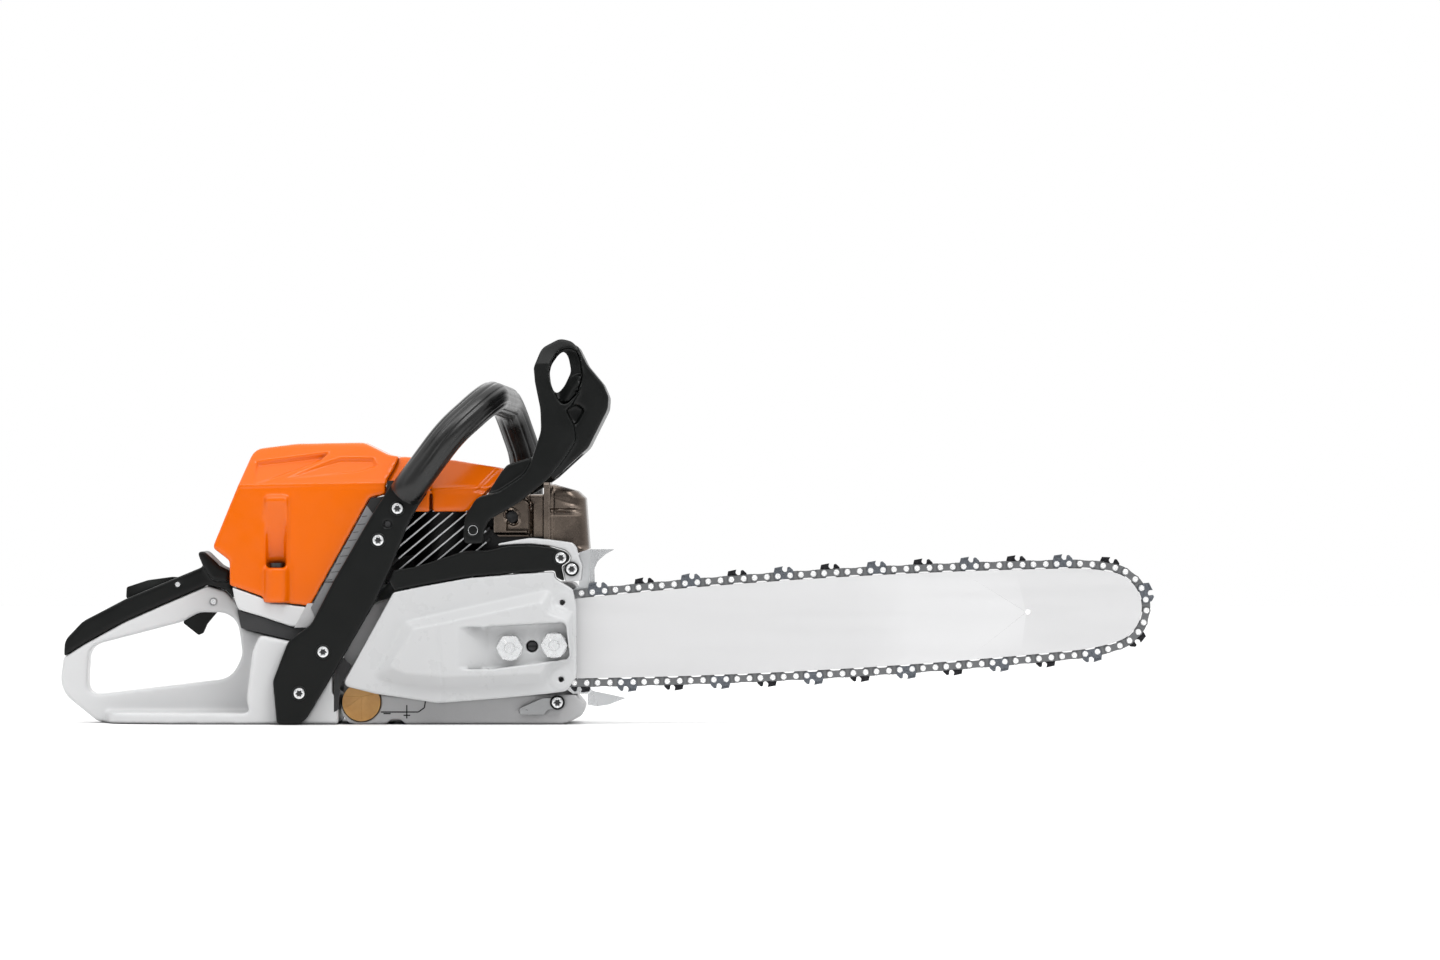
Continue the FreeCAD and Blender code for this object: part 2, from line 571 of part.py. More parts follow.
def strand(drop):
    """Upper half of the chain line in bar axes, lowered by a drop: its arcs and its tail point."""
    slope = math.radians(size("strand_slope"))
    nose = vec(size("nose_centre"), 0, 0)
    crown = vec(size("crown_peak"), size("crown_top") - size("crown_radius"), 0)
    crown_radius, shoulder_radius = size("crown_radius"), size("shoulder_radius")
    entry_radius, nose_radius = size("entry_radius"), size("nose_radius")
    # shoulder circle: inside the crown circle and around the nose circle
    gap = nose - crown
    span = gap.Length
    far, near = crown_radius - shoulder_radius, shoulder_radius - nose_radius
    along = (span ** 2 + far ** 2 - near ** 2) / (2 * span)
    aside = math.sqrt(far ** 2 - along ** 2)
    direction = unit(vec(gap))
    across = vec(-direction.y, direction.x, 0)
    shoulder = min((crown + direction * along + across * side for side in (-aside, aside)),
                   key=lambda centre: centre.x)
    # entry circle: touches the straight run off the sprocket and the inside of the crown circle
    normal = vec(-math.sin(slope), math.cos(slope), 0)
    forward = vec(math.cos(slope), math.sin(slope), 0)
    foot = normal * (size("sprocket_pitch_radius") - entry_radius)
    offset = foot - crown
    half = offset.dot(forward)
    reach = math.sqrt(half ** 2 - offset.dot(offset) + (crown_radius - entry_radius) ** 2)
    entry = foot + forward * (-half - reach)
    if entry.x < 0:
        entry = foot + forward * (-half + reach)
    join_nose = nose + unit(nose - shoulder) * (nose_radius - drop)
    join_shoulder = crown + unit(shoulder - crown) * (crown_radius - drop)
    join_crown = crown + unit(entry - crown) * (crown_radius - drop)
    join_entry = entry + normal * (entry_radius - drop)
    centres = {"nose": nose, "shoulder": shoulder, "crown": crown, "entry": entry}
    return centres, (join_entry, join_crown, join_shoulder, join_nose), normal, forward


def bulged(start, finish, centre):
    """Point on the arc halfway between its ends."""
    middle = (start + finish) * 0.5
    return centre + unit(middle - centre) * start.distanceToPoint(centre)


def mirrored(point):
    return vec(point.x, -point.y, 0)


def bar_outline(drop, tail):
    """Closed loop in bar axes, a drop below the chain line, cut off square at the tail."""
    centres, joins, _, forward = strand(drop)
    entry, crown, shoulder, nose = joins
    rise = (entry.x - tail) * forward.y / forward.x
    back = vec(tail, entry.y - rise, 0)
    tip = centres["nose"] + vec(size("nose_radius") - drop, 0, 0)
    top = [Part.LineSegment(back, entry), Part.Arc(entry, bulged(entry, crown, centres["entry"]), crown),
           Part.Arc(crown, bulged(crown, shoulder, centres["crown"]), shoulder),
           Part.Arc(shoulder, bulged(shoulder, nose, centres["shoulder"]), nose)]
    low = [Part.LineSegment(mirrored(back), mirrored(entry)),
           Part.Arc(mirrored(entry), mirrored(bulged(entry, crown, centres["entry"])), mirrored(crown)),
           Part.Arc(mirrored(crown), mirrored(bulged(crown, shoulder, centres["crown"])),
                    mirrored(shoulder)),
           Part.Arc(mirrored(shoulder), mirrored(bulged(shoulder, nose, centres["shoulder"])),
                    mirrored(nose))]
    return top + [Part.Arc(nose, tip, mirrored(nose))] + low + [Part.LineSegment(back, mirrored(back))]


def bar_frame():
    """Placement that carries bar axes (u along the bar, v across, w sideways) into the saw."""
    lie_down = FreeCAD.Rotation(vec(1, 0, 0), 90)
    tilt = FreeCAD.Rotation(vec(0, 1, 0), -size("bar_tilt"))
    return FreeCAD.Placement(vec(0, size("bar_plane"), size("crank_height")), tilt.multiply(lie_down))


def bar_plate(name, loops, gauge):
    """Plate in the bar plane, centred on it; bar axes u and v are the sketch axes."""
    body, sketch = body_with_sketch(name, "XZ_Plane", loops)
    bind(sketch, "AttachmentOffset.Base.z", f"-({gauge}) / 2")
    feature_pad = body.newObject("PartDesign::Pad", name + "_pad")
    feature_pad.Profile = sketch
    bind(feature_pad, "Length", gauge)
    tilt = FreeCAD.Rotation(vec(0, 1, 0), -size("bar_tilt"))
    body.Placement = FreeCAD.Placement(vec(0, size("bar_plane"), size("crank_height")), tilt)
    return body


def guide_bar():
    slot = [(46.5, -8.3, 4.25), (102, -8.3, 4.25), (102, 0.3, 4.25), (46.5, 0.3, 4.25)]
    loops = [bar_outline(size("rail_drop"), size("bar_tail")), rounded(slot), circle(75.8, 11, 3.1),
             circle(60, -15, 2), circle(478, 0, 2.2)]
    blank = bar_plate("bar_blank", loops, "bar_thickness")
    depth = size("rail_drop") + size("groove_depth")
    groove = cut("bar_groove", bar_plate("groove_blank", [bar_outline(0, 20)], "groove_width"),
                 bar_plate("groove_core", [bar_outline(depth, 10)], "groove_width + 1"))
    nose_room = bar_plate("nose_room", [circle(542, 0, 27), circle(542, 0, 9)], "groove_width")
    node("guide_bar", cut("guide_bar", blank, groove, nose_room))
    teeth = []
    for index in range(22):
        reach = 25.2 if index % 2 == 0 else 21.5
        turn = math.radians(360 / 22 * index)
        teeth.append((542 + reach * math.cos(turn), reach * math.sin(turn), 1))
    node("nose_sprocket", bar_plate("nose_sprocket", [rounded(teeth), circle(542, 0, 9.1)], 1.4))


def chain_line():
    """Chain line as a closed list of pieces: (kind, length, point function)."""
    centres, joins, normal, forward = strand(0)
    radius = size("sprocket_pitch_radius")
    start = normal * radius
    entry, crown, shoulder, nose = joins
    tip = vec(size("nose_centre") + size("nose_radius"), 0, 0)
    rear = vec(-radius, 0, 0)
    top = [Part.Arc(rear, bulged(rear, start, vec()), start).toShape(),
           Part.LineSegment(start, entry).toShape(),
           Part.Arc(entry, bulged(entry, crown, centres["entry"]), crown).toShape(),
           Part.Arc(crown, bulged(crown, shoulder, centres["crown"]), shoulder).toShape(),
           Part.Arc(shoulder, bulged(shoulder, nose, centres["shoulder"]), nose).toShape(),
           Part.Arc(nose, bulged(nose, tip, centres["nose"]), tip).toShape()]
    return top


def chain_points():
    """Rivet centres round the whole chain, in bar axes."""
    edges = chain_line()
    half_length = sum(edge.Length for edge in edges)
    count = int(size("rivet_count"))
    pitch = 2 * half_length / count
    strap = size("strap_rivets")
    stations = []
    for pair in range(count // 2):
        centre = 2 * pitch * (pair + 0.5)
        stations.append(centre - strap / 2)
        stations.append(centre + strap / 2)
    points = []
    for station in stations:
        folded = station if station <= half_length else 2 * half_length - station
        rest = folded
        for edge in edges:
            if rest <= edge.Length or edge is edges[-1]:
                first = edge.getParameterByLength(min(rest, edge.Length))
                place = edge.valueAt(first)
                break
            rest -= edge.Length
        points.append(place if station <= half_length else mirrored(place))
    return points


def flat_link(points, holes, low, high):
    """Link plate in its own axes: u forward, v outward from the bar, w sideways."""
    face = Part.Face(Part.Wire(Part.__sortEdges__([edge.toShape() for edge in rounded(points)])))
    for x, y, radius in holes:
        face = face.cut(Part.Face(Part.Wire(circle(x, y, radius)[0].toShape())))
    face.translate(vec(0, 0, low))
    return face.extrude(vec(0, 0, high - low))


def drive_link(half):
    outline = [(-7.5, -2.4, 2.4), (-7.5, 2.2, 2.6), (-2, 3.4, 3), (2, 3.4, 3), (7.5, 2.2, 2.6),
               (7.5, -2.4, 2.4), (4.2, -4.6, 2), (1.2, -7, 0.8), (-1.4, -6.6, 0.8), (-3.2, -4.4, 2)]
    hole = size("rivet_radius") + size("fit")
    gauge = size("link_gauge") / 2
    return flat_link(outline, [(-half, 0, hole), (half, 0, hole)], -gauge, gauge)


STRAP = [(-7.9, -3.5, 3.4), (-7.9, 3.6, 3.5), (-2, 2.9, 4), (2, 2.9, 4), (7.9, 3.6, 3.5), (7.9, -3.5, 3.4),
         (2, -2.9, 4), (-2, -2.9, 4)]


def strap_at(half, side):
    hole = size("rivet_radius") + size("fit")
    inner = size("link_gauge") / 2 + 0.02
    low, high = sorted((side * inner, side * (inner + size("strap_gauge"))))
    return flat_link(STRAP, [(-half, 0, hole), (half, 0, hole)], low, high)


def cutter(half, side):
    """Cutting link: strap foot, depth gauge in front, and a tooth bent over sideways."""
    hole = size("rivet_radius") + size("fit")
    inner = size("link_gauge") / 2 + 0.02
    outline = [(-7.9, -3.5, 3.4), (-8.2, 3.4), (-7.2, 7.0), (-0.4, 7.9), (-1.3, 5.2, 1.5), (0.3, 3.2, 1.5),
               (2.6, 3.2, 1.2), (3.2, 6.8, 1), (5.0, 7.3, 1.4), (7.9, 4.2, 2), (7.9, -3.5, 3.4),
               (2, -2.9, 4), (-2, -2.9, 4)]
    low, high = sorted((side * inner, side * (inner + size("strap_gauge"))))
    foot = flat_link(outline, [(-half, 0, hole), (half, 0, hole)], low, high)
    outer = side * (inner + size("strap_gauge"))
    low, high = sorted((outer - side * 0.6, outer + side * 1.6))
    top = flat_link([(-7.3, 5.9), (-7.2, 7.0), (-0.4, 7.9), (-0.9, 6.6)], [], low, high)
    return foot.fuse(top).removeSplitter()


def rivet():
    length = size("link_gauge") / 2 + 0.02 + size("strap_gauge")
    shank = Part.makeCylinder(size("rivet_radius"), 2 * length, vec(0, 0, -length))
    heads = [Part.makeCone(2.35, 1.9, 0.55, vec(0, 0, side * length), vec(0, 0, side)) for side in (-1, 1)]
    return shank.multiFuse(heads)


def chain():
    """Drive links, tie straps, cutters of both hands and rivets, laid along the chain line."""
    points = chain_points()
    frame_place = bar_frame()
    half_strap = size("strap_rivets") / 2
    strap_pairs, drives, tooth_links, rivets = [], [], [], []

    def laid(shape, first, second):
        middle = (first + second) * 0.5
        along = second - first
        turn = FreeCAD.Rotation(vec(0, 0, 1), math.degrees(math.atan2(along.y, along.x)))
        copy = shape.copy()
        copy.Placement = frame_place.multiply(FreeCAD.Placement(middle, turn))
        return copy

    ties = {side: strap_at(half_strap, side) for side in (-1, 1)}
    teeth = {side: cutter(half_strap, side) for side in (-1, 1)}
    one_rivet = rivet()
    count = len(points)
    for index in range(0, count, 2):
        first, second = points[index], points[index + 1]
        following = points[(index + 2) % count]
        number = index // 2
        hand = {0: 1, 2: -1}.get(number % 4)
        for side in (-1, 1):
            if side == hand:
                tooth_links.append(laid(teeth[side], first, second))
            else:
                strap_pairs.append(laid(ties[side], first, second))
        half_drive = second.distanceToPoint(following) / 2
        drives.append(laid(drive_link(half_drive), second, following))
        for point in (first, second):
            copy = one_rivet.copy()
            copy.Placement = frame_place.multiply(FreeCAD.Placement(point, FreeCAD.Rotation()))
            rivets.append(copy)
    for name, shapes in (("chain_tie_straps", strap_pairs), ("chain_drive_links", drives),
                         ("chain_cutters", tooth_links), ("chain_rivets", rivets)):
        node(name, feature(name, Part.makeCompound(shapes)))


# ---------------------------------------------------------------- sprocket cover, brake, spikes
COVER = [(-84, 32, 4), (-42.1, 108.3, 3), (-18.2, 113.2), (19.7, 120, 30), (57.7, 123.1, 30),
         (89.3, 125.2, 1.7), (90.1, 119.8, 3), (104.5, 110.7, 4), (107.4, 96.7, 8), (107.4, 38.8, 4),
         (99.2, 27.3, 5), (82.6, 25.1, 5), (45, 21.5, 20), (-5.8, 17.5, 30), (-30.9, 21.5), (-56.2, 25.1)]
BULGE_FOOT = [(-60, 38, 4), (-33, 85, 4), (86, 111.5, 4), (90, 99, 6), (104.8, 93, 3), (105, 52, 4),
              (88, 48, 6),
              (82, 33, 4), (0, 29, 20), (-40, 33, 6)]
BULGE_CROWN = [(-45, 47, 4), (-24, 78, 4), (79, 100, 4), (84, 90, 6), (101, 85, 3), (101.5, 57, 4),
               (84, 53, 6),
               (78, 42, 4), (0, 39, 20), (-32, 42, 6)]
NUT_PANEL = [(34, 80.3, 3), (98.7, 83.9, 4), (102.2, 54, 4), (34, 45, 3)]
SKIRT = [(-83, 33, 4), (-41, 106.6, 3), (-18.2, 112), (19.7, 118.6), (30, 119.3), (30, 22), (-30.9, 23),
         (-56.2, 27)]


def side_wire(points, y):
    """Closed wire of a side outline at a distance across the saw."""
    wire = Part.Wire([edge.toShape() for edge in rounded(points)])
    wire.Placement = FreeCAD.Placement(vec(0, y, 0), FreeCAD.Rotation(vec(1, 0, 0), 90))
    return wire


def swelling(name, foot, crown, foot_y, crown_y):
    """Raised field with sloping sides, from a foot outline to a smaller crown outline."""
    return feature(name, Part.makeLoft([side_wire(foot, foot_y), side_wire(crown, crown_y)], True, True))


def sprocket_cover():
    face, crown_face, skin = (size(alias) for alias in ("cover_face", "cover_bulge", "cover_skin"))
    rim = plate("cover_shell", COVER, "cover_face", "cover_rim")
    bulge = swelling("cover_bulge", BULGE_FOOT, BULGE_CROWN, face + 0.5, crown_face)
    skirt = plate("cover_skirt", SKIRT, "cover_rim", -47.2)
    room = plate("cover_room", inset(COVER, 2.6), "cover_face + cover_skin", -40)
    bulge_room = swelling("bulge_room", inset(BULGE_FOOT, 3), inset(BULGE_CROWN, 3), face + 4,
                          crown_face + skin)
    plug_side = block("plug_side", (-90, -50), ("cover_rim", -40), (0, 36))
    sole_side = block("sole_side", (-60, 35), ("cover_rim", -40), (0, "sole_top + 0.3"))
    skirt_front = block("skirt_front", (27, 35), ("cover_rim", -40), (10, 125))
    skirt = cut("skirt_kept", skirt, plug_side, sole_side, skirt_front)
    shell = cut("cover_walls", fuse("cover_solid", rim, bulge, skirt), room, bulge_room)
    clamp = plate("clamp_block", [(42, 52, 4), (100, 55, 4), (97, 82, 4), (42, 79, 4)],
                  "cover_bulge + 1", "clamp_face - 0.05")
    around_panel = [(x, z) for x, z, _ in inset(NUT_PANEL, -2.4)]
    floor = plate("nut_panel_floor", around_panel, "cover_panel", "cover_panel + cover_skin")
    collar = plate("panel_collar", around_panel, "cover_bulge + 0.3", "cover_panel + 0.5")
    ramp = plan("ramp_floor", [(10, -81), (36, -68.5), (36, -66), (30, -66), (10, -77)], 43, 82.5)
    panel = plate("nut_panel_cut", NUT_PANEL, "cover_bulge - 1", "cover_panel")
    ramp_cut = plan("ramp_cut", [(10, -81.05), (36, -68.5), (36, -84), (10, -84)], 46, 79.6)
    solid = fuse("cover_body", shell, clamp, floor, collar, ramp)
    limit = fuse("cover_limit", plate("limit_rim", COVER, "cover_face", -40),
                 swelling("limit_bulge", BULGE_FOOT, BULGE_CROWN, face + 0.5, crown_face))
    kept = common("cover_kept", solid, limit)
    holes = [rod(f"cover_stud_{index}", "y", stud, "stud_radius + 0.3", -90, -50)
             for index, stud in enumerate(STUDS)]
    holes.append(rod("adjuster_access", "y", TENSIONER, 5, -90, -50))
    holes += [rod("cover_pin_top", "y", (95.9, 100), 2.2, -80, -60),
              rod("cover_pin_low", "y", (95, 37.2), 2.2, -84, -60)]
    holes.append(rod("pin_clearance", "y", SLIDER_PIN, 9, -58, -53))
    node("sprocket_cover", cut("sprocket_cover", kept, panel, ramp_cut, *holes))


def fasteners():
    node("bar_studs", group("bar_studs", [rod(f"stud_{index}", "y", stud, "stud_radius", "stud_reach", -32)
                                         for index, stud in enumerate(STUDS)]))
    nuts = []
    for index, (x, z) in enumerate(STUDS):
        collar = rod(f"nut_collar_{index}", "y", (x, z), 10.6, -70.4, "cover_panel")
        hexagon = plate(f"nut_hex_{index}", hex_corners(x, z, 19), -78, -70)
        nuts.append(cut(f"nut_{index}", fuse(f"nut_blank_{index}", collar, hexagon),
                        rod(f"nut_bore_{index}", "y", (x, z), "stud_radius + fit", -80, -60)))
    node("bar_nuts", group("bar_nuts", nuts))
    screw = cut("tension_screw", rod("tension_shaft", "y", TENSIONER, 3.7, -62, -42.5),
                block("tension_slot", (66, 76), (-63, -60.5), (63.4, 64.6)))
    node("tension_screw", screw)
    slider_pin = rod("slider_pin", "y", SLIDER_PIN, 3, -54, -45)
    slider = block("slider_body", (68.5, 81), (-49.6, -42), (75, 83.4))
    node("tension_slider", fuse("tension_slider", slider, slider_pin))


BRAKE = [(-45.2, 118.5), (-42.4, 126.1, 3), (-23.5, 129.3, 20), (16.4, 142.1, 20), (34.7, 142.5, 10),
         (51.7, 146.3, 20), (68.6, 147.1, 30), (85.4, 145.4, 20), (98.1, 141.6, 4), (102.3, 137.4, 3),
         (100.7, 133.2, 2), (94.8, 129.8, 2), (97.5, 117), (90.8, 120.4), (89.8, 126),
         (57.7, 123.9, 30), (19.7, 120.8, 30), (-18.2, 114), (-41.6, 109.4)]
ARCH = [(43.3, 146.2), (43.3, 148), (58.5, 150.9, 20), (69.4, 152.6, 20), (85.4, 151.3, 20),
        (104, 148.8, 5),
        (107.4, 145, 3), (109.5, 136.6), (112.1, 129.8), (110.7, 117.6), (98.2, 117.2), (95.6, 129.4, 2),
        (101.4, 132.8, 2), (103, 137.4, 3), (98.6, 142.2, 4), (85.4, 146.1, 20), (68.6, 147.8, 30),
        (51.7, 147, 20)]


def brake_case():
    shell = cut("brake_cover", plate("brake_blank", BRAKE, "brake_near", "brake_far", [(94.7, 136.4, 2.6)]),
                plate("brake_room", inset(BRAKE, 2.2), "brake_near + 2.5", "brake_far + 1"))
    node("brake_cover", shell)
    node("brake_arch", plate("brake_arch", ARCH, -70, "brake_far - 0.7", [(103.6, 127.3, 2.6)]))


def spikes():
    outline = [(97, 30, 3), (97, 106, 3), (109.2, 113), (109.2, 140.6), (118.2, 143.2, 8), (138.2, 143.2),
               (131, 139.1, 10), (124.3, 133.2, 8), (121.7, 127, 6), (122.3, 113, 5), (113, 100, 4),
               (113, 42, 4), (119.6, 27.2, 4), (135.5, 24), (147.7, 21.2), (133.6, 15.7, 12),
               (123.6, 14.2, 8), (116.3, 15.6), (116.3, 24.6, 1), (104, 24.6)]
    holes = [(102.5, 92, 2.9), (102.5, 46, 2.9)]
    node("bumper_spike", plate("bumper_spike", outline, -47.5, -44.5, holes))
    wedge = plate("chain_catcher", [(61, 8, 2), (61, 13), (80, 21.5, 2), (98, 21.5, 3), (98, 14, 3),
                                    (84, 12), (80, 8, 2)],
                  -61, "sole_near - 0.1", [(91.7, 17.9, 2.9)])
    node("chain_catcher", wedge)


# ---------------------------------------------------------------- handles and tank
FRAME = [(-92, 0), (-287.6, 0, 12.4), (-320.6, 26.4, 28.9), (-316.8, 54), (-298.3, 65.6, 20),
         (-266.3, 83.2, 60), (-236, 96.6, 20), (-219.1, 103.9, 20), (-198, 113, 4), (-182.9, 108.5, 3),
         (-172.9, 96.6, 3), (-168.8, 77.5, 3), (-128.1, 68.1, 3), (-107.4, 63.4), (-92, 58)]
LOOP = [(-295.9, 62.8, 13.2), (-297.5, 22.3, 8.3), (-178.5, 36.4, 20.7), (-169, 55.4, 16.5),
        (-173.8, 90.7, 17), (-204.9, 90.9, 4.1), (-219.8, 82.6, 5)]
TANK = [(-92, 0), (-158, 0, 5), (-163, 20, 10), (-158, 60, 8), (-152, 73.4, 3), (-128.1, 68.1, 3),
        (-107.4, 63.4), (-92, 58)]
GRIP = [(-316.5, 54.3), (-315.7, 67.8, 12.4), (-300.8, 83.5, 20.7), (-264.4, 102.5, 60),
        (-200.8, 128.9, 2.5),
        (-205.8, 141.3, 2.5), (-199.2, 141.3, 2.5), (-186.8, 128.9, 5), (-177.6, 125.4, 1),
        (-177.6, 113.6, 2),
        (-175.8, 101.8), (-182.6, 109.3, 2.5), (-198, 113.3, 4), (-219.1, 104.2, 20),
        (-236, 96.9, 20), (-266.3, 83.5, 60), (-298.3, 65.8, 20)]
FUEL_CAP = (-134, 44)
TRIGGER_PIVOT = (-193, 99.8)
LOCK_PIVOT = (-222.5, 114)
GUARD_PIVOT = (23, 159)


def rear_frame():
    """Fuel tank, rear handle loop and hand rest as one hollow casting."""
    loop = plate("handle_loop", FRAME, "grip_near", "grip_far", [LOOP])
    tank = plate("tank_block", TANK, "tank_near", "tank_far")
    rest = plan("hand_rest", [(-150, -62, 2), (-228, -58, 12), (-274, -44, 24), (-287, 6, 20),
                              (-268, 20, 4), (-150, 20)],
                0, 9)
    room = plate("fuel_room", inset(TANK, size("tank_skin")), "tank_near + tank_skin",
                 "tank_far - tank_skin")
    filler = rod("fuel_filler", "y", FUEL_CAP, 12, "tank_far - 10", "tank_far + 1")
    slot = block("trigger_slot", (-232, -185), ("5 - trigger_width / 2 - slot_clearance",
                                                "5 + trigger_width / 2 + slot_clearance"), (60, 106))
    pin = rod("trigger_pin_hole", "y", TRIGGER_PIVOT, "2.4 + fit", -20, 30)
    lock_room = plate("lock_room", [(-268.5, 90), (-268.5, 120), (-214, 128), (-214, 104)],
                      "5 - trigger_width / 2 - slot_clearance", "5 + trigger_width / 2 + slot_clearance")
    node("tank_handle", cut("tank_handle", fuse("frame_blank", loop, tank, rest), room, filler, slot, pin,
                            lock_room))
    grip_slot = plate("grip_lock_slot", [(-268.5, 90), (-268.5, 125), (-216.5, 135), (-216.5, 104)],
                      "5 - trigger_width / 2 - slot_clearance", "5 + trigger_width / 2 + slot_clearance")
    grip_pin = rod("grip_pin_hole", "y", LOCK_PIVOT, "2 + fit", -20, 30)
    upper = plate("grip_blank", GRIP, "grip_near - 0.5", "grip_far + 0.5")
    flange = plate("hand_stop", [(-205.8, 141.3, 2.5), (-199.2, 141.3, 2.5), (-186.8, 129.2, 5),
                                 (-178.2, 125.4, 1),
                                 (-180.6, 116, 1.7), (-193.4, 117.5, 4), (-200.8, 128.9, 2.5)], -27, 37)
    node("handle_grip", cut("handle_grip", fuse("grip_solid", upper, flange), grip_slot, grip_pin))


def controls():
    slim = ("5 - trigger_width / 2", "5 + trigger_width / 2")
    lever = [(-219, 82, 2), (-212.5, 93, 3), (-199, 104.5, 4), (-188.5, 104.5, 4), (-187.5, 95, 4),
             (-191, 90.5, 2),
             (-198.9, 81, 6), (-202.2, 73.5, 2), (-206, 71.8, 2)]
    node("trigger", plate("trigger", lever, *slim, [TRIGGER_PIVOT + (2.45,)]))
    lock = [(-266, 102.5, 2), (-265.5, 111.5, 2), (-247.9, 117.3, 20), (-228, 120, 8), (-218.6, 119.5, 3),
            (-217.5, 110.5, 4), (-229, 107.5, 3), (-262, 101.5, 2)]
    node("throttle_lock", plate("throttle_lock", lock, *slim, [LOCK_PIVOT + (2.05,)]))
    pins = [rod("trigger_pin", "y", TRIGGER_PIVOT, 2.4, "grip_near - 0.6", "grip_far + 0.6"),
            rod("lock_pin", "y", LOCK_PIVOT, 2, "grip_near", "grip_far"),
            rod("lever_pin", "y", (-193, 114.5), 2.5, 37.1, 46)]
    lever_shape = [(-214, 119, 3), (-212, 123.5, 3), (-196, 121.5, 3), (-189, 118, 4), (-189, 110, 4),
                   (-197, 110, 4)]
    node("control_lever", plate("control_lever", lever_shape, 39, 45, [(-193, 114.5, 2.55)]))
    pins += [rod("guard_pin_near", "y", GUARD_PIVOT, "guard_pin", -75.5, -44.2),
             rod("guard_pin_far", "y", GUARD_PIVOT, "guard_pin", 44.2, 67.5)]
    node("pivot_pins", group("pivot_pins", pins))


LEG = [(-137.4, 0.6, 2), (-140.7, 35.5, 6), (-128.1, 68.3, 12), (-109.3, 82.1, 12), (-90.9, 117.8),
       (-60.7, 169.8),
       (-44, 196.5, 8), (-30, 205, 6), (-12, 193, 6), (-22.3, 178.1), (-30.6, 163), (-44.3, 127.3, 20),
       (-58, 98.6),
       (-73.1, 72.7), (-92.2, 39.7, 10), (-112.4, 5.8, 4), (-118.2, 0.6, 3)]
LEG_SCREWS = ((-99.5, 59.5), (-119, 25.6), (-38.8, 176.8), (-54.5, 150.8))


def tube(points, bends, radius):
    """Round bar along straight runs joined by tangent bends."""
    edges = []
    here = points[0]
    for index in range(1, len(points) - 1):
        corner = points[index]
        back, ahead = unit(points[index - 1] - corner), unit(points[index + 1] - corner)
        half = math.acos(back.dot(ahead)) / 2
        reach = bends[index - 1] / math.tan(half)
        start, finish = corner + back * reach, corner + ahead * reach
        middle = corner + unit(back + ahead) * (bends[index - 1] / math.sin(half) - bends[index - 1])
        edges.append(Part.LineSegment(here, start).toShape())
        edges.append(Part.Arc(start, middle, finish).toShape())
        here = finish
    edges.append(Part.LineSegment(here, points[-1]).toShape())
    spine = Part.Wire(edges)
    profile = Part.Wire(Part.makeCircle(radius, points[0], points[1] - points[0]))
    return spine.makePipeShell([profile], True, False)


def front_handle():
    near, far = size("tube_near"), size("tube_far")
    route = [vec(-28, near, 195), vec(4, near, 238.5), vec(36, near + 22, 268), vec(47, far - 24, 264),
             vec(62, far, 220), vec(66, far, 26), vec(-108, far, 24), vec(-108, size("tank_far"), 24)]
    bends = [60, 34, 34, 50, 42, 28]
    node("front_handle", feature("front_handle", tube(route, bends, size("tube_radius"))))
    lower = plate("leg_plate", LEG, "leg_near", "leg_far", [place + (2.9,) for place in LEG_SCREWS]
                  + [(-46.8, 163.9, 3.2)])
    foot, shoulder = route[0], route[1]
    along = unit(shoulder - foot)
    socket = doc.addObject("Part::Cylinder", "tube_clearance")
    socket.Placement = FreeCAD.Placement(foot - along * 1.5, FreeCAD.Rotation(vec(0, 0, 1), along))
    bind(socket, "Radius", "tube_radius + 0.2")
    socket.Height = 60
    node("handle_leg", cut("handle_leg", lower, socket))


def suspension():
    """Rubber boot, side springs and buffer that carry the handle frame on the engine."""
    boot = [(-170.4, 93.2), (-148.8, 86.9), (-125.8, 79), (-107.6, 79), (-107.6, 64.6), (-128, 69.3),
            (-167.4, 78.6)]
    springs = []
    for index, (x, y, z) in enumerate(((-88, -30, 40), (-88, 24, 40))):
        for turn in range(2):
            springs.append(ring(f"spring_{index}_{turn}", "x", (y, z), 5, 7, x - 3.6 + 3.6 * turn,
                                x - 2.2 + 3.6 * turn))
    node("frame_springs", group("frame_springs", springs))
    node("amber_plug", rod("amber_plug", "y", (-69, 18), 15.6, "sole_near - 1", "sole_near + 5.9"))
    wedge = [(-91.2, 34), (-89, 60, 2), (-76.8, 48, 2), (-86.2, 30.5, 2), (-87.5, 12, 2), (-91.2, 10)]
    node("rubber_mounts", group("rubber_mounts", [plate("rubber_boot", boot, -57, 55),
                                                  plate("rubber_stop", wedge, -61.8, -57.2),
                                                  ring("intake_boot", "x", (0, 127), 8, 13, -62, -50.2)]))


def caps():
    fuel = fuse("fuel_cap", rod("fuel_cap_head", "y", FUEL_CAP, 16, "tank_far + 0.2", "tank_far + 7"),
                rod("fuel_cap_plug", "y", FUEL_CAP, 11.6, "tank_far - 8", "tank_far + 1"),
                block("fuel_cap_bail", (-148, -120), ("tank_far + 6", "tank_far + 12"), (42, 46)))
    node("fuel_cap", fuel)
    oil = fuse("oil_cap", rod("oil_cap_head", "y", (76, 12), 10.5, "sole_far + 0.2", "sole_far + 6"),
               rod("oil_cap_plug", "y", (76, 12), 7.6, "sole_far - 3.5", "sole_far + 1"),
               block("oil_cap_bail", (67, 85), ("sole_far + 5", "sole_far + 9"), (10.5, 13.5)))
    node("oil_cap", oil)
    filters = [rod("fuel_filter", "y", (-140, 12), 6, -20, 4), rod("oil_filter", "x", (-20, 11), 5, 30, 48)]
    node("tank_filters", group("tank_filters", filters))


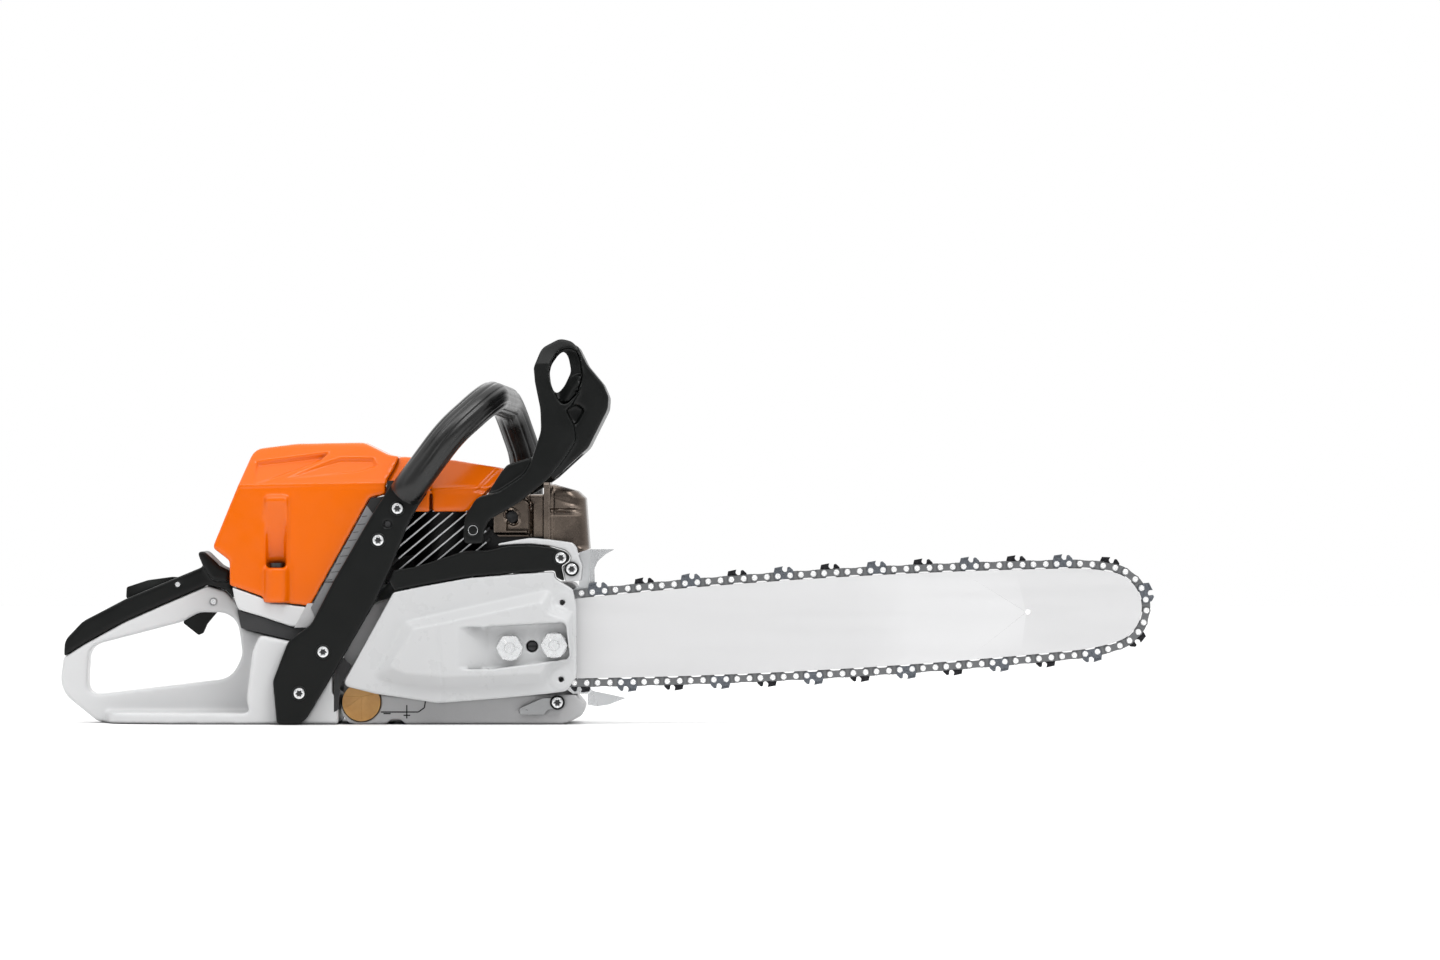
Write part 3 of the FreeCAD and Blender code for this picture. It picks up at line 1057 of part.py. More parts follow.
# ---------------------------------------------------------------- hand guard
GUARD_ARM = [(72.4, 291.9, 8), (73.5, 280.1, 6), (78, 258, 30), (78.5, 240, 20), (67.4, 205.9, 26),
             (43.8, 190.4, 14),
             (26, 186, 12), (16.5, 170, 10), (14.9, 154.2, 3), (16.5, 147.8, 2), (30.6, 147.8, 2),
             (32.2, 158.7, 4),
             (36.4, 167.5, 8), (60.1, 181, 20), (83.5, 200, 20), (97, 216.5, 12), (107, 232, 9),
             (105.5, 244, 10), (100, 256, 4),
             (110, 272, 8), (112, 296, 8), (105.8, 312.9, 9), (94, 315.9, 9), (79, 308, 12)]
GUARD_LOOP = [(84.3, 289.7, 12), (87, 297.5, 12), (92.6, 306.3, 8), (101.6, 308.6, 8), (108, 305.5, 5),
              (111, 297, 8),
              (112.5, 285, 12), (108, 269.5, 12), (97.3, 260, 5), (91.4, 267.3, 10), (86, 279.3, 16)]
GUARD_EYE = [(97.3, 306.3, 3), (92, 301.6, 8), (87, 294.4, 10), (85.4, 287.6, 10), (86.4, 279.3, 10),
             (90.1, 268.6, 3),
             (97.3, 276.8, 12), (102.5, 287.6, 6), (102.5, 291.5, 6), (100.8, 300, 8)]
GUARD_RING = [(72.4, 291.9, 8), (73.5, 280.1, 6), (80, 262, 20), (92, 250, 8), (106, 240, 8), (124, 262, 8),
              (122, 277, 8), (111, 290, 8), (105.8, 312.9, 9), (94, 315.9, 9), (79, 308, 12)]
GUARD_POCKET = [(98.5, 257.5, 2), (105.8, 243.5, 2), (114.5, 257.5, 3), (107, 262, 3)]
GUARD_SHELL = [(87.4, 199, 4), (117.3, 226.4, 10), (133.1, 257.8, 10), (133.9, 267.8, 6), (129.4, 278.5, 8),
               (116.2, 294.4, 8), (108, 311, 6), (103, 309, 3), (111, 290, 8), (122, 277, 8),
               (126, 266, 6), (125, 257, 8),
               (110, 229, 10), (86, 206, 4)]
GUARD_FAR_ARM = [(16, 150, 5), (30, 150, 5), (34, 168, 8), (60, 182, 14), (88, 200, 6), (118, 228, 6),
                 (124, 262, 8), (112, 262, 6), (104, 234, 8), (78, 208, 8), (40, 188, 8), (16, 172, 6)]
GUARD_WEB = [(84, 199.5, 3), (96, 206, 3), (113, 228, 8), (127, 258, 6), (124, 276, 6), (112, 292, 6),
             (104, 306, 4), (104, 280, 4), (94, 258, 4), (96, 240, 4), (90, 212, 4)]
GUARD_SHOULDER = [(50.6, 212.4, 3), (72.5, 219.5, 4), (78, 214, 3), (66, 196, 8), (45, 184, 4), (34, 184, 3),
                  (36, 191, 2), (45.3, 205.9, 4)]


def hand_guard():
    """Shield on two arms, with a set-back web and shoulder; it ends high enough to pass over the muffler."""
    arm = plate("guard_arm", GUARD_ARM, "guard_near", "guard_near + guard_plate")
    web = plate("guard_web", GUARD_WEB, "guard_near + 6", "guard_near + 13")
    shoulder = plate("guard_shoulder", GUARD_SHOULDER, "guard_near + guard_plate", "guard_near + 13")
    ring_wall = plate("guard_ring", GUARD_RING, "guard_near + guard_plate", "guard_near + 18")
    shell = plate("guard_shell", GUARD_SHELL, "guard_near + 6", "guard_far")
    far_arm = plate("guard_far_arm", GUARD_FAR_ARM, "guard_far - 6", "guard_far")
    blank = fuse("guard_blank", arm, web, shoulder, ring_wall, shell, far_arm)
    loop = plate("guard_loop", GUARD_LOOP, "guard_near - 1", "guard_near + 13")
    eye = plate("guard_eye", GUARD_EYE, "guard_near - 1", "guard_near + 20")
    pocket = plate("guard_pocket", GUARD_POCKET, "guard_near - 1", "guard_near + 10")
    over_muffler = plate("guard_muffler_room", [(60, 150), (140, 150), (140, 229), (60, 209)], -50, 50)
    pins = rod("guard_pin_holes", "y", GUARD_PIVOT, "guard_pin + fit", "guard_near - 1", "guard_far + 1")
    node("hand_guard", cut("hand_guard", blank, loop, eye, pocket, over_muffler, pins))


# ---------------------------------------------------------------- screws
def torx_screws():
    """Cap screws with a star socket: (x, z, head face y, seat y, tip y)."""
    leg_near = size("leg_near")
    places = [(x, z, leg_near - 2.4, leg_near, size("leg_far") - 0.1) for x, z in LEG_SCREWS]
    places += [(91.7, 17.9, -64.2, -61, -57), (103.6, 127.3, -74, -70, -60),
               (102.5, 92, -47.9, -47.5, -44.6),
               (94.7, 136.4, -74, -72, -66)]
    screws = []
    for index, (x, z, face, seat, tip) in enumerate(places):
        head = rod(f"screw_head_{index}", "y", (x, z), 4.6, face, seat)
        shank = rod(f"screw_shank_{index}", "y", (x, z), 2.5, seat, tip)
        socket = rod(f"screw_socket_{index}", "y", (x, z), 2.3, face - 1, face + 1.4)
        screws.append(cut(f"cap_screw_{index}", fuse(f"screw_blank_{index}", head, shank), socket))
    node("torx_screws", group("torx_screws", screws))


def build():
    for make in (crankcase_right, crankcase_left, bearings_and_shaft, piston_and_rod, cylinder, muffler,
                 filter_cover, cylinder_shroud, intake, side_panel, starter, flywheel, clutch_and_brake,
                 guide_bar, chain, sprocket_cover, fasteners, brake_case, spikes, rear_frame, controls,
                 front_handle, suspension, caps, hand_guard, torx_screws):
        make()


build()
doc.recompute()

for item in doc.Objects:
    if "Invalid" in item.State or "Error" in item.State:
        raise RuntimeError(f"{item.Label} did not recompute: {item.State}")
for name, item in NODES.items():
    if item.Shape.isNull() or not item.Shape.isValid() or not item.Shape.Solids:
        raise RuntimeError(f"{name} has no valid solid")
    item.Shape.exportStep(f"parts/{name}.step")
print(len(NODES), "nodes written")
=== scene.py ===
"""Looks of the chainsaw: materials, moulded covers, ribbed handle and fine detail around the CAD frame.

Metres, +Z up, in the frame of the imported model: +X runs along the bar, -Y is the chain side.
Functions that build shapes take millimetres, and turn them into metres as they make vertices.
"""

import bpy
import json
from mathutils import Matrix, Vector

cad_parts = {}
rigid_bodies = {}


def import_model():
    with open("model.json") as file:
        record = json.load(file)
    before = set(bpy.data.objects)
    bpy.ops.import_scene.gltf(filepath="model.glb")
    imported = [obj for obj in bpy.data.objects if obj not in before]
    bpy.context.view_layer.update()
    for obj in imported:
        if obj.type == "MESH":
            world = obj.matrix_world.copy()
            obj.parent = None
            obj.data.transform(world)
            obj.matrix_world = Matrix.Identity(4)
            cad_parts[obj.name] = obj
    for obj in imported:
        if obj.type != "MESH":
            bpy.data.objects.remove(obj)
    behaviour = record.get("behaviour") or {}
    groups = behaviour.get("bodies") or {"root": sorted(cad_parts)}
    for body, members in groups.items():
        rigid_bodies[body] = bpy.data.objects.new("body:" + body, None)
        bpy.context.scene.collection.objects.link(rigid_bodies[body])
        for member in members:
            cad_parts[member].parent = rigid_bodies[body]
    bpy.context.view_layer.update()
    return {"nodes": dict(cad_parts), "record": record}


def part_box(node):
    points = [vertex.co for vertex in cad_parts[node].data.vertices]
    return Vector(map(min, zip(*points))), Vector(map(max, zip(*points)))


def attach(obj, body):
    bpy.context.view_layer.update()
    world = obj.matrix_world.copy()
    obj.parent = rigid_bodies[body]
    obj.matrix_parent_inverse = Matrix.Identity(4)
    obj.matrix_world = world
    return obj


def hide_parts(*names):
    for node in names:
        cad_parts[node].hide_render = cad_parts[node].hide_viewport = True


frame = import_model()

import bmesh
import bpy
import json
import math
from mathutils import Matrix, Vector

MM = 0.001
WELD_DISTANCE = 0.000002
SHARP_ANGLE = math.radians(32)
BEVEL_ANGLE = math.radians(35)
DEFAULT_BEVEL = 0.0004
BAR_NUTS = [(52.9, 62.9), (89.3, 65.05)]
COVER_SCREW_X = -138.3
GUARD_PIN = (23, 159)
HANDLE_RADIUS = 13.5
LEG_HOLE = (-46.8, 163.9)
OUTLET = (54.2, 169.7)
NODES = frame["nodes"]
BODY_OF = {node: body for body, nodes in frame["record"]["behaviour"]["bodies"].items() for node in nodes}
SLOT_OF = {part["node"]: part["material_slot"] for part in frame["record"]["subparts"]}
scene = bpy.context.scene


# ---------------------------------------------------------------- shader helpers
class Shader:
    """One node material built round a Principled shader, in object coordinates in metres."""

    def __init__(self, name, **sockets):
        self.material = bpy.data.materials.new(name)
        self.material.use_nodes = True
        self.tree = self.material.node_tree
        self.principled = self.tree.nodes["Principled BSDF"]
        self.place = self.add("ShaderNodeTexCoord").outputs["Object"]
        for socket, value in sockets.items():
            self.principled.inputs[socket.replace("_", " ")].default_value = value

    def add(self, kind, **settings):
        node = self.tree.nodes.new(kind)
        for key, value in settings.items():
            setattr(node, key, value)
        return node

    def link(self, output, socket):
        self.tree.links.new(output, socket)
        return output

    def noise(self, scale, detail=4, stretch=(1, 1, 1)):
        """Noise whose scale is given in patches per metre."""
        mapping = self.add("ShaderNodeMapping")
        mapping.inputs["Scale"].default_value = stretch
        self.link(self.place, mapping.inputs["Vector"])
        node = self.add("ShaderNodeTexNoise")
        node.inputs["Scale"].default_value = scale
        node.inputs["Detail"].default_value = detail
        node.inputs["Roughness"].default_value = 0.55
        self.link(mapping.outputs["Vector"], node.inputs["Vector"])
        return node.outputs["Fac"]

    def spread(self, value, low, high, start=0.3, end=0.7):
        """Maps a factor from start..end to low..high."""
        node = self.add("ShaderNodeMapRange")
        for socket, number in (("From Min", start), ("From Max", end), ("To Min", low), ("To Max", high)):
            node.inputs[socket].default_value = number
        self.link(value, node.inputs["Value"])
        return node.outputs["Result"]

    def mix(self, factor, first, second):
        """Blend of two colours, each a tuple or an output."""
        node = self.add("ShaderNodeMix", data_type="RGBA")
        self.link(factor, node.inputs["Factor"])
        for socket, colour in (("A", first), ("B", second)):
            target = [item for item in node.inputs if item.name == socket and item.type == "RGBA"][0]
            if isinstance(colour, tuple):
                target.default_value = (*colour, 1)
            else:
                self.link(colour, target)
        return [item for item in node.outputs if item.type == "RGBA"][0]

    def colour(self, output):
        self.link(output, self.principled.inputs["Base Color"])

    def roughness(self, output):
        self.link(output, self.principled.inputs["Roughness"])

    def bump(self, *layers):
        """Stacks bump layers, each a pair of height output and depth in metres."""
        normal = None
        for height, depth in layers:
            node = self.add("ShaderNodeBump")
            node.inputs["Strength"].default_value = 1.0
            node.inputs["Distance"].default_value = depth
            self.link(height, node.inputs["Height"])
            if normal is not None:
                self.link(normal, node.inputs["Normal"])
            normal = node.outputs["Normal"]
        self.link(normal, self.principled.inputs["Normal"])

    def painted_shade_in_hollows(self, colour, depth=0.004, dark=0.35):
        """Painted shade: darkens a colour in seams, slots and inner corners, where shade falls."""
        occlusion = self.add("ShaderNodeAmbientOcclusion", samples=16)
        occlusion.inputs["Distance"].default_value = depth
        openness = self.spread(occlusion.outputs["AO"], 0, 1, 0.25, 0.85)
        return self.mix(openness, self.darker(colour, dark), colour)

    def darker(self, colour, factor):
        """A colour output made darker by a factor."""
        node = self.add("ShaderNodeHueSaturation")
        node.inputs["Value"].default_value = factor
        self.link(colour, node.inputs["Color"])
        return node.outputs["Color"]

    def axis(self, name):
        """One object coordinate, in metres."""
        node = self.add("ShaderNodeSeparateXYZ")
        self.link(self.place, node.inputs["Vector"])
        return node.outputs[name]

    def edge_wear_and_highlight(self):
        """Factor that rises from 0 to 1 on sharp outer edges, where colour is lightened as partly wear and partly
        painted highlight.
        """
        geometry = self.add("ShaderNodeNewGeometry")
        return self.spread(geometry.outputs["Pointiness"], 0, 1, 0.53, 0.632)


def shade(colour, factor):
    """Colour made lighter or darker by a factor."""
    return tuple(min(1, channel * factor) for channel in colour)


def moulded_plastic(name, colour, rough, grain=900, depth=0.00004, coat=0.0, drift=0.06, wear_and_highlight=1.25, gloss=0.5,
                    sink=0.0002):
    """Injection-moulded plastic: faint colour drift, spark-eroded grain, edges lightened as partly rubbed wear and
    partly painted highlight, and painted shade in hollows.
    """
    look = Shader(name, Coat_Weight=coat, Coat_Roughness=0.1, Specular_IOR_Level=gloss)
    broad = look.noise(14, 3)
    fine = look.noise(grain, 3)
    base = look.mix(look.spread(broad, 0, 1), shade(colour, 1 - drift), shade(colour, 1 + drift))
    look.colour(look.painted_shade_in_hollows(look.mix(look.edge_wear_and_highlight(), base, shade(colour, wear_and_highlight))))
    look.roughness(look.spread(look.noise(60, 4), rough - 0.06, rough + 0.07))
    look.bump((fine, depth), (look.noise(22, 2), sink))
    return look.material


def cast_metal(name, colour, rough, metallic=0.0):
    """Powder-coated or bare die casting with a pebbled skin."""
    look = Shader(name, Metallic=metallic)
    base = look.mix(look.spread(look.noise(20, 4), 0, 1), shade(colour, 0.92), shade(colour, 1.06))
    # edges painted lighter, partly as wear and partly as highlight; hollows painted darker as shade
    look.colour(look.painted_shade_in_hollows(look.mix(look.edge_wear_and_highlight(), base, shade(colour, 1.3))))
    look.roughness(look.spread(look.noise(90, 4), rough - 0.07, rough + 0.08))
    look.bump((look.noise(500, 3), 0.00012))
    return look.material


def steel(name, colour, rough, stretch=(1, 1, 1), scale=260, depth=0.00003, grime=None, metallic=1.0, marks=0.1):
    """Ground or turned steel with fine directional marks."""
    look = Shader(name, Metallic=metallic)
    lines = look.noise(scale, 5, stretch)
    base = look.mix(look.spread(lines, 0, 1), shade(colour, 1 - marks), shade(colour, 1 + marks))
    if grime:
        base = look.mix(look.spread(look.noise(120, 5), 0, 0.75, 0.45, 0.7), base, grime)
    # edges painted lighter, partly as wear and partly as highlight; hollows painted darker as shade
    look.colour(look.painted_shade_in_hollows(look.mix(look.edge_wear_and_highlight(), base, shade(colour, 1.35)), 0.002, 0.3))
    look.roughness(look.spread(lines, rough - 0.08, rough + 0.12))
    look.bump((lines, depth))
    return look.material


def rubber(name, colour, rough):
    """Matt rubber with a fine moulded skin."""
    look = Shader(name)
    look.colour(look.mix(look.spread(look.noise(30, 4), 0, 1), shade(colour, 0.8), shade(colour, 1.35)))
    look.roughness(look.spread(look.noise(80, 4), rough - 0.08, rough + 0.08))
    look.bump((look.noise(700, 2), 0.00006))
    return look.material


def cutter_steel(name):
    """Chromed cutters: the near hand painted bright as lit and the far hand painted dark as shade, with painted shade
    in the gullets.
    """
    look = Shader(name, Metallic=1.0)
    lines = look.noise(700, 5)
    # painted light and shade: one chrome, coloured bright on the near hand and dark on the far hand
    near = look.mix(look.spread(lines, 0, 1), (0.11, 0.12, 0.135), (0.19, 0.205, 0.23))
    far = look.mix(look.spread(lines, 0, 1), (0.012, 0.012, 0.013), (0.05, 0.05, 0.055))
    bar_low, bar_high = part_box("guide_bar")
    bar_plane = (bar_low.y + bar_high.y) / 2
    side = look.spread(look.axis("Y"), 0, 1, bar_plane - 0.0002, bar_plane + 0.0002)
    look.colour(look.painted_shade_in_hollows(look.mix(side, near, far), 0.002, 0.4))
    look.roughness(look.spread(lines, 0.25, 0.42))
    look.bump((lines, 0.00003))
    return look.material


def tinted_steel(name):
    """Heat-tinted sheet: bronze with straw and violet drifts, satin."""
    look = Shader(name, Metallic=1.0)
    drift = look.noise(22, 3, (1, 1, 0.6))
    warm = look.mix(look.spread(drift, 0, 1, 0.35, 0.65), (0.13, 0.105, 0.088), (0.23, 0.185, 0.15))
    soot = look.mix(look.spread(look.noise(55, 5), 0, 0.5, 0.5, 0.75), warm, (0.06, 0.048, 0.042))
    # edges painted a pale bronze, partly as wear and partly as highlight; hollows painted darker as shade
    look.colour(look.painted_shade_in_hollows(look.mix(look.edge_wear_and_highlight(), soot, (0.5, 0.42, 0.36)), 0.003, 0.3))
    look.roughness(look.spread(look.noise(140, 4), 0.2, 0.32))
    look.bump((look.noise(300, 3), 0.00001))
    return look.material


def panel_skin(name, low_end, high_end):
    """Grey side panel whose top corner, above the line between two (x, z) places in mm, is painted black as the shade
    of the pocket between the hood's edge and the leg.
    """
    look = Shader(name)
    grey = look.mix(look.spread(look.noise(20, 4), 0, 1), (0.15, 0.15, 0.155), (0.20, 0.20, 0.205))
    x, z = look.axis("X"), look.axis("Z")
    slope = (high_end[1] - low_end[1]) / (high_end[0] - low_end[0])
    line = look.add("ShaderNodeMath", operation="MULTIPLY_ADD")
    line.inputs[1].default_value = -slope
    look.link(x, line.inputs[0])
    look.link(z, line.inputs[2])
    edge = (low_end[1] - slope * low_end[0]) * MM
    above = look.spread(line.outputs[0], 0, 1, edge - 0.0001, edge + 0.0001)
    # painted shade: the corner above the line is black
    look.colour(look.painted_shade_in_hollows(look.mix(above, grey, (0.005, 0.005, 0.005))))
    look.roughness(look.spread(look.noise(90, 4), 0.38, 0.5))
    look.bump((look.noise(700, 3), 0.00005))
    return look.material


def amber(name):
    """Half-clear amber rubber."""
    look = Shader(name, Transmission_Weight=0.25, IOR=1.45, Coat_Weight=0.3, Coat_Roughness=0.15)
    look.colour(look.mix(look.spread(look.noise(70, 3), 0, 1), (0.50, 0.24, 0.05), (0.66, 0.36, 0.10)))
    look.roughness(look.spread(look.noise(200, 3), 0.3, 0.45))
    look.bump((look.noise(500, 2), 0.00005))
    return look.material


def fleece(name):
    """Pale filter fleece."""
    look = Shader(name)
    look.colour(look.mix(look.spread(look.noise(900, 4), 0, 1), (0.55, 0.53, 0.46), (0.8, 0.78, 0.7)))
    look.roughness(look.spread(look.noise(400, 3), 0.8, 0.95))
    look.bump((look.noise(1500, 3), 0.0002))
    return look.material


MATERIALS = {
    "grey_casting": cast_metal("grey_casting", (0.40, 0.40, 0.405), 0.45),
    "white_casting": moulded_plastic("white_casting", (0.57, 0.575, 0.58), 0.34, coat=0.06, drift=0.012, wear_and_highlight=1.06,
                                     gloss=0.35, sink=0.00005),
    "white_painted": moulded_plastic("white_painted", (0.50, 0.505, 0.51), 0.30, grain=600, coat=0.08, drift=0.01,
                                     wear_and_highlight=1.06, gloss=0.35, sink=0.00004),
    "orange_plastic": moulded_plastic("orange_plastic", (0.69, 0.118, 0.0), 0.16, grain=700, depth=0.000008,
                                      coat=0.05, drift=0.02, wear_and_highlight=1.1, gloss=0.3),
    # black plastics lighten their edges three to four times, mostly as painted highlight
    "black_plastic": moulded_plastic("black_plastic", (0.0042, 0.0048, 0.0046), 0.34, grain=1100, depth=0.00003,
                                     wear_and_highlight=4.0, gloss=0.19),
    "black_grip": moulded_plastic("black_grip", (0.006, 0.0062, 0.0062), 0.30, grain=1300, depth=0.00003, wear_and_highlight=3.0,
                                  gloss=0.45),
    "black_rubber": rubber("black_rubber", (0.016, 0.016, 0.017), 0.6),
    "amber_rubber": amber("amber_rubber"),
    "bar_steel": steel("bar_steel", (0.60, 0.60, 0.605), 0.5, (0.06, 1, 1), 160, 0.000003, metallic=0.3,
                       marks=0.012),
    "chain_steel": steel("chain_steel", (0.145, 0.148, 0.152), 0.36, scale=700, depth=0.00002,
                         grime=(0.06, 0.058, 0.055)),
    "rivet_steel": steel("rivet_steel", (0.95, 0.95, 0.95), 0.25, scale=900, depth=0.000005, metallic=0.6),
    "zinc_steel": steel("zinc_steel", (0.76, 0.77, 0.78), 0.27, scale=300, depth=0.000004, metallic=0.85, marks=0.03),
    "dark_steel": steel("dark_steel", (0.06, 0.06, 0.062), 0.42, scale=500),
    "machined_steel": steel("machined_steel", (0.62, 0.62, 0.63), 0.3, scale=400, metallic=0.8),
    "muffler_steel": tinted_steel("muffler_steel"),
    "cast_aluminium": cast_metal("cast_aluminium", (0.62, 0.63, 0.64), 0.36, 0.8),
    "black_fins": cast_metal("black_fins", (0.013, 0.013, 0.014), 0.5),
    "filter_felt": fleece("filter_felt"),
}
# nodes whose finish is not their slot's plain one
OWN_FINISH = {
    "chain_catcher": steel("catcher_steel", (0.36, 0.365, 0.37), 0.35, scale=200, depth=0.000002, metallic=0.7,
                           marks=0.05),
    "bumper_spike": steel("spike_steel", (0.60, 0.61, 0.62), 0.26, (1, 1, 0.1), 90, 0.000002, metallic=0.9,
                          marks=0.02),
    "chain_cutters": cutter_steel("cutter_steel"),
    "side_panel": panel_skin("panel_grey", (-64.5, 179.3), (-56, 167.8)),
    "tension_screw": MATERIALS["dark_steel"],
}


# ---------------------------------------------------------------- mesh helpers
def smooth_by_angle():
    """Geometry nodes that shade smooth and keep edges over the sharp angle hard."""
    group = bpy.data.node_groups.new("smooth_by_angle", "GeometryNodeTree")
    group.interface.new_socket("Geometry", in_out="INPUT", socket_type="NodeSocketGeometry")
    group.interface.new_socket("Geometry", in_out="OUTPUT", socket_type="NodeSocketGeometry")
    start, end = group.nodes.new("NodeGroupInput"), group.nodes.new("NodeGroupOutput")
    faces = group.nodes.new("GeometryNodeSetShadeSmooth")
    faces.domain = "FACE"
    edges = group.nodes.new("GeometryNodeSetShadeSmooth")
    edges.domain = "EDGE"
    edges.inputs["Shade Smooth"].default_value = False
    angle = group.nodes.new("GeometryNodeInputMeshEdgeAngle")
    sharp = group.nodes.new("FunctionNodeCompare")
    sharp.data_type, sharp.operation = "FLOAT", "GREATER_THAN"
    sharp.inputs["B"].default_value = SHARP_ANGLE
    group.links.new(start.outputs[0], faces.inputs["Geometry"])
    group.links.new(faces.outputs[0], edges.inputs["Geometry"])
    group.links.new(angle.outputs["Unsigned Angle"], sharp.inputs["A"])
    group.links.new(sharp.outputs[0], edges.inputs["Selection"])
    group.links.new(edges.outputs[0], end.inputs[0])
    return group


SMOOTH = smooth_by_angle()


def dress(node):
    """A CAD node keeps its shape: it gets its material, welded and softly bevelled edges."""
    piece = NODES[node]
    bevel = BEVELS.get(node, DEFAULT_BEVEL)
    material = OWN_FINISH.get(node) or MATERIALS[SLOT_OF[node]]
    for item in [piece] + [child for child in piece.children if child.type == "MESH"]:
        if item.type != "MESH":
            continue
        if not item.material_slots:
            item.data.materials.append(material)
        for holder in item.material_slots:
            holder.link = "OBJECT"
            holder.material = material
        weld = item.modifiers.new("weld", "WELD")
        weld.merge_threshold = WELD_DISTANCE
        if bevel:
            round_off = item.modifiers.new("bevel", "BEVEL")
            round_off.width, round_off.segments = bevel, 2
            round_off.limit_method, round_off.angle_limit = "ANGLE", BEVEL_ANGLE
            round_off.use_clamp_overlap = True
        item.modifiers.new("shading", "NODES").node_group = SMOOTH
        if bevel:
            item.modifiers.new("normals", "WEIGHTED_NORMAL").keep_sharp = True


def baked(piece):
    """Applies a piece's modifiers and returns its mesh."""
    graph = bpy.context.evaluated_depsgraph_get()
    return bpy.data.meshes.new_from_object(piece.evaluated_get(graph))


def new_piece(name, mesh, body, slot, *nodes):
    """Adds a finished mesh that rides a body and stands for CAD nodes."""
    piece = bpy.data.objects.new(name, mesh)
    scene.collection.objects.link(piece)
    mesh.materials.clear()
    mesh.materials.append(MATERIALS[slot])
    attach(piece, body)
    if nodes:
        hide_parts(*nodes)
    return piece


def shade_smooth(mesh):
    for polygon in mesh.polygons:
        polygon.use_smooth = True


def mesh_of(name, shape):
    """Turns a bmesh of closed forms into a mesh, with its faces looking out."""
    bmesh.ops.recalc_face_normals(shape, faces=shape.faces)
    mesh = bpy.data.meshes.new(name)
    shape.to_mesh(mesh)
    shape.free()
    return mesh


def finished(name, shape, body, slot, *nodes):
    """Adds a smooth piece made from a bmesh, with its sharp edges kept."""
    mesh = mesh_of(name, shape)
    shade_smooth(mesh)
    piece = new_piece(name, mesh, body, slot, *nodes)
    piece.modifiers.new("shading", "NODES").node_group = SMOOTH
    return piece


def join_rings(shape, rings):
    """Closed skin through matching rings of vertices, with both ends capped."""
    count = len(rings[0])
    for first, second in zip(rings, rings[1:]):
        for k in range(count):
            after = (k + 1) % count
            shape.faces.new((first[k], first[after], second[after], second[k]))
    shape.faces.new(rings[0])
    shape.faces.new(list(reversed(rings[-1])))


def mould(node, voxel, rounds, shape, extra):
    """A cast or moulded cover: the CAD solid with all its edges run round, as a die leaves them.

    extra adds closed forms to the solid, voxel in mm and rounds set how far the edges run,
    and shape moves the finished surface.
    """
    work = bpy.data.objects.new(node + "_work", NODES[node].data.copy())
    scene.collection.objects.link(work)
    if extra:
        grown = bmesh.new()
        grown.from_mesh(work.data)
        extra(grown)
        grown.to_mesh(work.data)
        grown.free()
    work.modifiers.new("weld", "WELD").merge_threshold = WELD_DISTANCE
    remesh = work.modifiers.new("remesh", "REMESH")
    remesh.mode, remesh.voxel_size, remesh.adaptivity = "VOXEL", voxel * MM, 0
    mesh = baked(work)
    bpy.data.objects.remove(work)
    smooth_mesh(mesh, rounds)
    if shape:
        shape(mesh)
        smooth_mesh(mesh, 1, 0.4)
    shade_smooth(mesh)
    new_piece(node + "_moulded", mesh, BODY_OF[node], SLOT_OF[node], node)


def smooth_mesh(mesh, rounds, factor=0.5):
    """Evens out a mesh by moving each vertex towards its neighbours."""
    shape = bmesh.new()
    shape.from_mesh(mesh)
    for _ in range(rounds):
        bmesh.ops.smooth_vert(shape, verts=shape.verts, factor=factor, use_axis_x=True, use_axis_y=True,
                              use_axis_z=True)
    shape.to_mesh(mesh)
    shape.free()


# ---------------------------------------------------------------- shape functions of the moulded covers
def smooth_step(value, low, high):
    """Rises smoothly from 0 at low to 1 at high."""
    share = max(0.0, min(1.0, (value - low) / (high - low)))
    return share * share * (3 - 2 * share)


def side_of(x, z, start, end):
    """Signed distance in mm of (x, z) from a line; positive on the left of its direction."""
    dx, dz = end[0] - start[0], end[1] - start[1]
    return (dx * (z - start[1]) - dz * (x - start[0])) / math.hypot(dx, dz)


def inside(x, z, corners, soft):
    """1 well inside a convex, anticlockwise polygon in mm, 0 outside, soft over a band at its edges."""
    reach = min(side_of(x, z, corners[k], corners[(k + 1) % len(corners)]) for k in range(len(corners)))
    return smooth_step(reach, -soft / 2, soft / 2)


def shape_filter_cover(mesh):
    """Pressed fields on the sloping roof, parted by a swept ridge; a belt line; a lip towards the shroud."""
    belt = 197
    rear_field = [(-157, 196), (-104, 216.5), (-98, 222), (-155, 214.5)]
    front_field = [(-130, 201), (-71.5, 207.5), (-57, 212), (-60, 217.5), (-86, 217.8), (-98, 214)]
    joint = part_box("filter_cover")[1].x / MM
    for vertex in mesh.vertices:
        x, y, z = (value / MM for value in vertex.co)
        side = -1 if y < 0 else 1
        if x > joint - 12 and z > 188:
            vertex.co.x += 1.6 * smooth_step(x, joint - 10, joint - 4) * MM
        if abs(y) < 20:
            continue
        sunk = 0.0
        for field in (rear_field, front_field):
            low = min(corner[1] for corner in field)
            sunk += inside(x, z, field, 2.0) * (0.3 + 0.17 * max(0.0, z - low))
        vertex.co.y -= side * sunk * 0.75 * MM
        vertex.co.z -= sunk * 0.62 * MM
        if z > 120 and abs(y) > 40:
            vertex.co.y += side * 0.9 * math.exp(-((z - belt - 0.02 * (x + 100)) / 1.8) ** 2) * MM


def solid(shape, lower, upper):
    """Adds a closed form between two matching loops of points in mm."""
    rings = [[shape.verts.new(Vector(point) * MM) for point in loop] for loop in (lower, upper)]
    count = len(lower)
    faces = [shape.faces.new((rings[0][k], rings[0][(k + 1) % count], rings[1][(k + 1) % count], rings[1][k]))
             for k in range(count)]
    faces += [shape.faces.new(list(reversed(rings[0]))), shape.faces.new(rings[1])]
    bmesh.ops.recalc_face_normals(shape, faces=faces)


